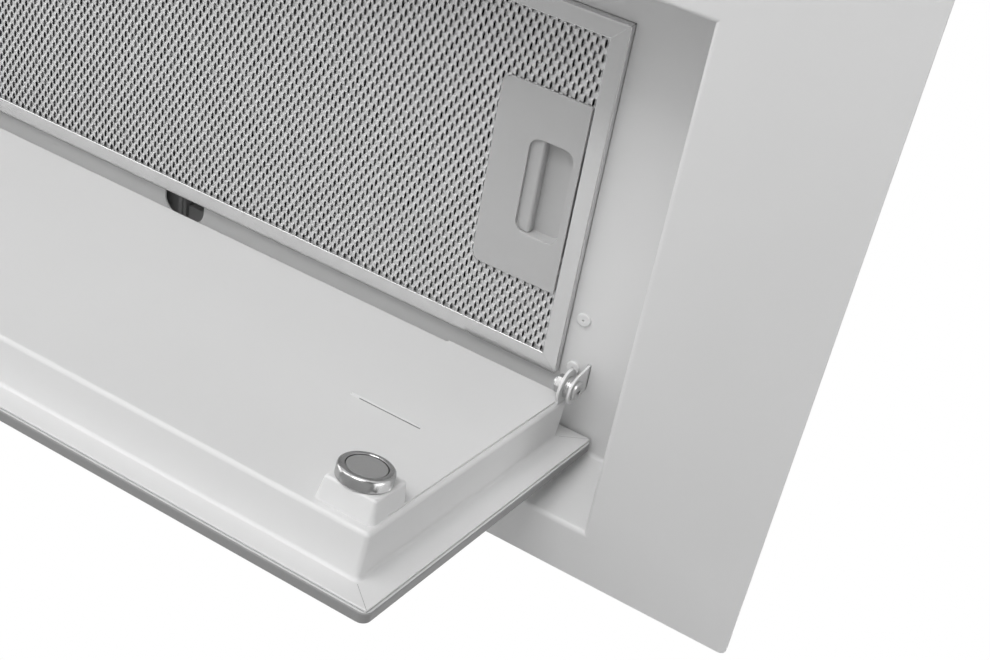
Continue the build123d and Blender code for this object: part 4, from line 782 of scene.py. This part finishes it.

# %% Mitre seams of the tray
# They are laid out on the shut tray, where the flange is level, and then opened about the hinge. Each is a
# thin dark strip of painted shade that runs from just outside the tray's corner towards the flange's. The same
# piece paints the shadow in the thin gap under the front edge of each bracket's plate.
joints = {joint["name"]: joint for joint in frame["joints"]}
pivot = Vector(joints["panel_hinge"]["pos_m"])
opening = Matrix.Rotation(math.radians(-joints["panel_hinge"]["range_deg"][0]), 3, "X")
tray_half = 201.2 * MM
tray_y = (-62.65 * MM, 90.75 * MM)
flange_width = 10.9 * MM
flange_top = 8.7 * MM
corner_gap = 1.0 * MM
seam_length = (flange_width - 1.2 * MM) * math.sqrt(2)
seam_y = (-0.07 * MM, 0.07 * MM)
seam_z = (-0.03 * MM, 0.02 * MM)
seam_roll = 0.01 * MM
gap_x = (148.9 * MM, 176.3 * MM)
gap_y = (12.8 * MM, 12.9 * MM)
gap_z = (26.6 * MM, 27.0 * MM)
seams = bmesh.new()
for side in (-1, 1):
    for end, y in zip((-1, 1), tray_y):
        start = len(seams.verts)
        soft_bar(seams, (0, seam_length), seam_y, seam_z, seam_roll)
        seams.verts.ensure_lookup_table()
        own = seams.verts[start:]
        corner = Vector((side * (tray_half + corner_gap), y + end * corner_gap, flange_top))
        bmesh.ops.rotate(seams, verts=own, matrix=Matrix.Rotation(math.atan2(end, side), 3, "Z"))
        bmesh.ops.translate(seams, verts=own, vec=corner)
    soft_bar(seams, sorted((side * gap_x[0], side * gap_x[1])), gap_y, gap_z, seam_roll)
bmesh.ops.rotate(seams, verts=seams.verts, cent=pivot, matrix=opening)
new_piece("tray_seam_shade_lines", seams, painted_seam_shade, "panel")

# %% [markdown]
# A catch magnet sits in a pressed steel cup. The cup's rim is rolled, so it catches the light all round, and
# a fine dark groove parts it from the magnet. Both are turned from half a cross-section, laid out on the
# shut panel and opened about the hinge.

# %% Catch magnets
turn_steps = 48


def turned_solid(shell, profile, centre):
    """Turn a profile of (radius, height) points in millimetres about the upright line through a centre."""
    points = [shell.verts.new(centre + Vector((radius * MM, 0, height * MM))) for radius, height in profile]
    line = [shell.edges.new(pair) for pair in zip(points, points[1:])]
    bmesh.ops.spin(shell, geom=points + line, cent=centre, axis=(0, 0, 1), angle=math.tau, steps=turn_steps,
                   use_merge=True)


cup_profile = [(0, 0), (9.6, 0), (10, 0.4), (10, 3.6), (9.85, 4.2), (9.45, 4.65), (8.9, 4.88), (8.3, 4.9),
               (7.6, 4.9), (7.45, 4.75), (7.45, 1.65), (0, 1.65)]
disc_profile = [(0, 1.65), (7.1, 1.65), (7.1, 4.5), (6.95, 4.65), (0, 4.65)]
magnet_place = Vector((187.6, -48.25, 35.3)) * MM
magnets = {"magnet_pots": (cup_profile, chrome), "magnet_discs": (disc_profile, magnet_grey)}
for node, (profile, material) in magnets.items():
    shell = bmesh.new()
    for side in (-1, 1):
        turned_solid(shell, profile, Vector((side * magnet_place.x, magnet_place.y, magnet_place.z)))
    bmesh.ops.remove_doubles(shell, verts=shell.verts, dist=merge_distance)
    bmesh.ops.recalc_face_normals(shell, faces=shell.faces)
    bmesh.ops.rotate(shell, verts=shell.verts, cent=pivot, matrix=opening)
    corner = Vector([max(vertex.co[axis] for vertex in shell.verts) for axis in range(3)])
    piece = new_piece(node + "_turned", shell, material, nodes[node]["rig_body"])
    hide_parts(node)

# %% Wiring duct behind the notch
# A wide stretch on the left, a narrower one that is set back on the right, and a bead under the step.
duct_step = -6.4 * MM
duct_y = (90.5 * MM, 118 * MM)
duct_z = (50.0 * MM, 58.0 * MM)
duct_roll = 0.8 * MM
bead_roll = 0.9 * MM
duct = bmesh.new()
soft_bar(duct, (-34 * MM, duct_step), duct_y, duct_z, duct_roll)
soft_bar(duct, (duct_step, 28 * MM), (100 * MM, duct_y[1]), (duct_z[0] + 1.5 * MM, duct_z[1]), duct_roll)
soft_bar(duct, (-10.6 * MM, -7.8 * MM), (duct_y[0], 117 * MM), (duct_z[0] - 1.2 * MM, duct_z[0] + 1.0 * MM),
         bead_roll)
new_piece("wiring_duct", duct, duct_grey, "hood")

# %% [markdown]
# The latch's coil spring is a round wire turned about a line. Spin does that when each step also moves along
# the line.

# %% Latch spring
spring_low, spring_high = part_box("latch_spring")
wire_radius = 0.2 * MM
wire_sides = 8
spring_turns = 6
steps_per_turn = 20
spring_axis = (spring_low + spring_high) / 2
spring_start = Vector((spring_low.x + wire_radius, spring_axis.y, spring_axis.z))
coil_radius = (spring_high.z - spring_low.z) / 2 - wire_radius
spring_length = spring_high.x - spring_low.x
coil = bmesh.new()
bmesh.ops.create_circle(coil, segments=wire_sides, radius=wire_radius)
bmesh.ops.translate(coil, verts=coil.verts, vec=spring_start + Vector((0, coil_radius, 0)))
steps = spring_turns * steps_per_turn
bmesh.ops.spin(coil, geom=coil.verts[:] + coil.edges[:], cent=spring_start, axis=(1, 0, 0), steps=steps,
               dvec=((spring_length - 2 * wire_radius) / steps, 0, 0), angle=math.tau * spring_turns)
bmesh.ops.holes_fill(coil, edges=coil.edges)
bmesh.ops.recalc_face_normals(coil, faces=coil.faces)
spring = new_piece("latch_spring_coil", coil, spring_steel, "hood")
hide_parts("latch_spring")
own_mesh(spring)
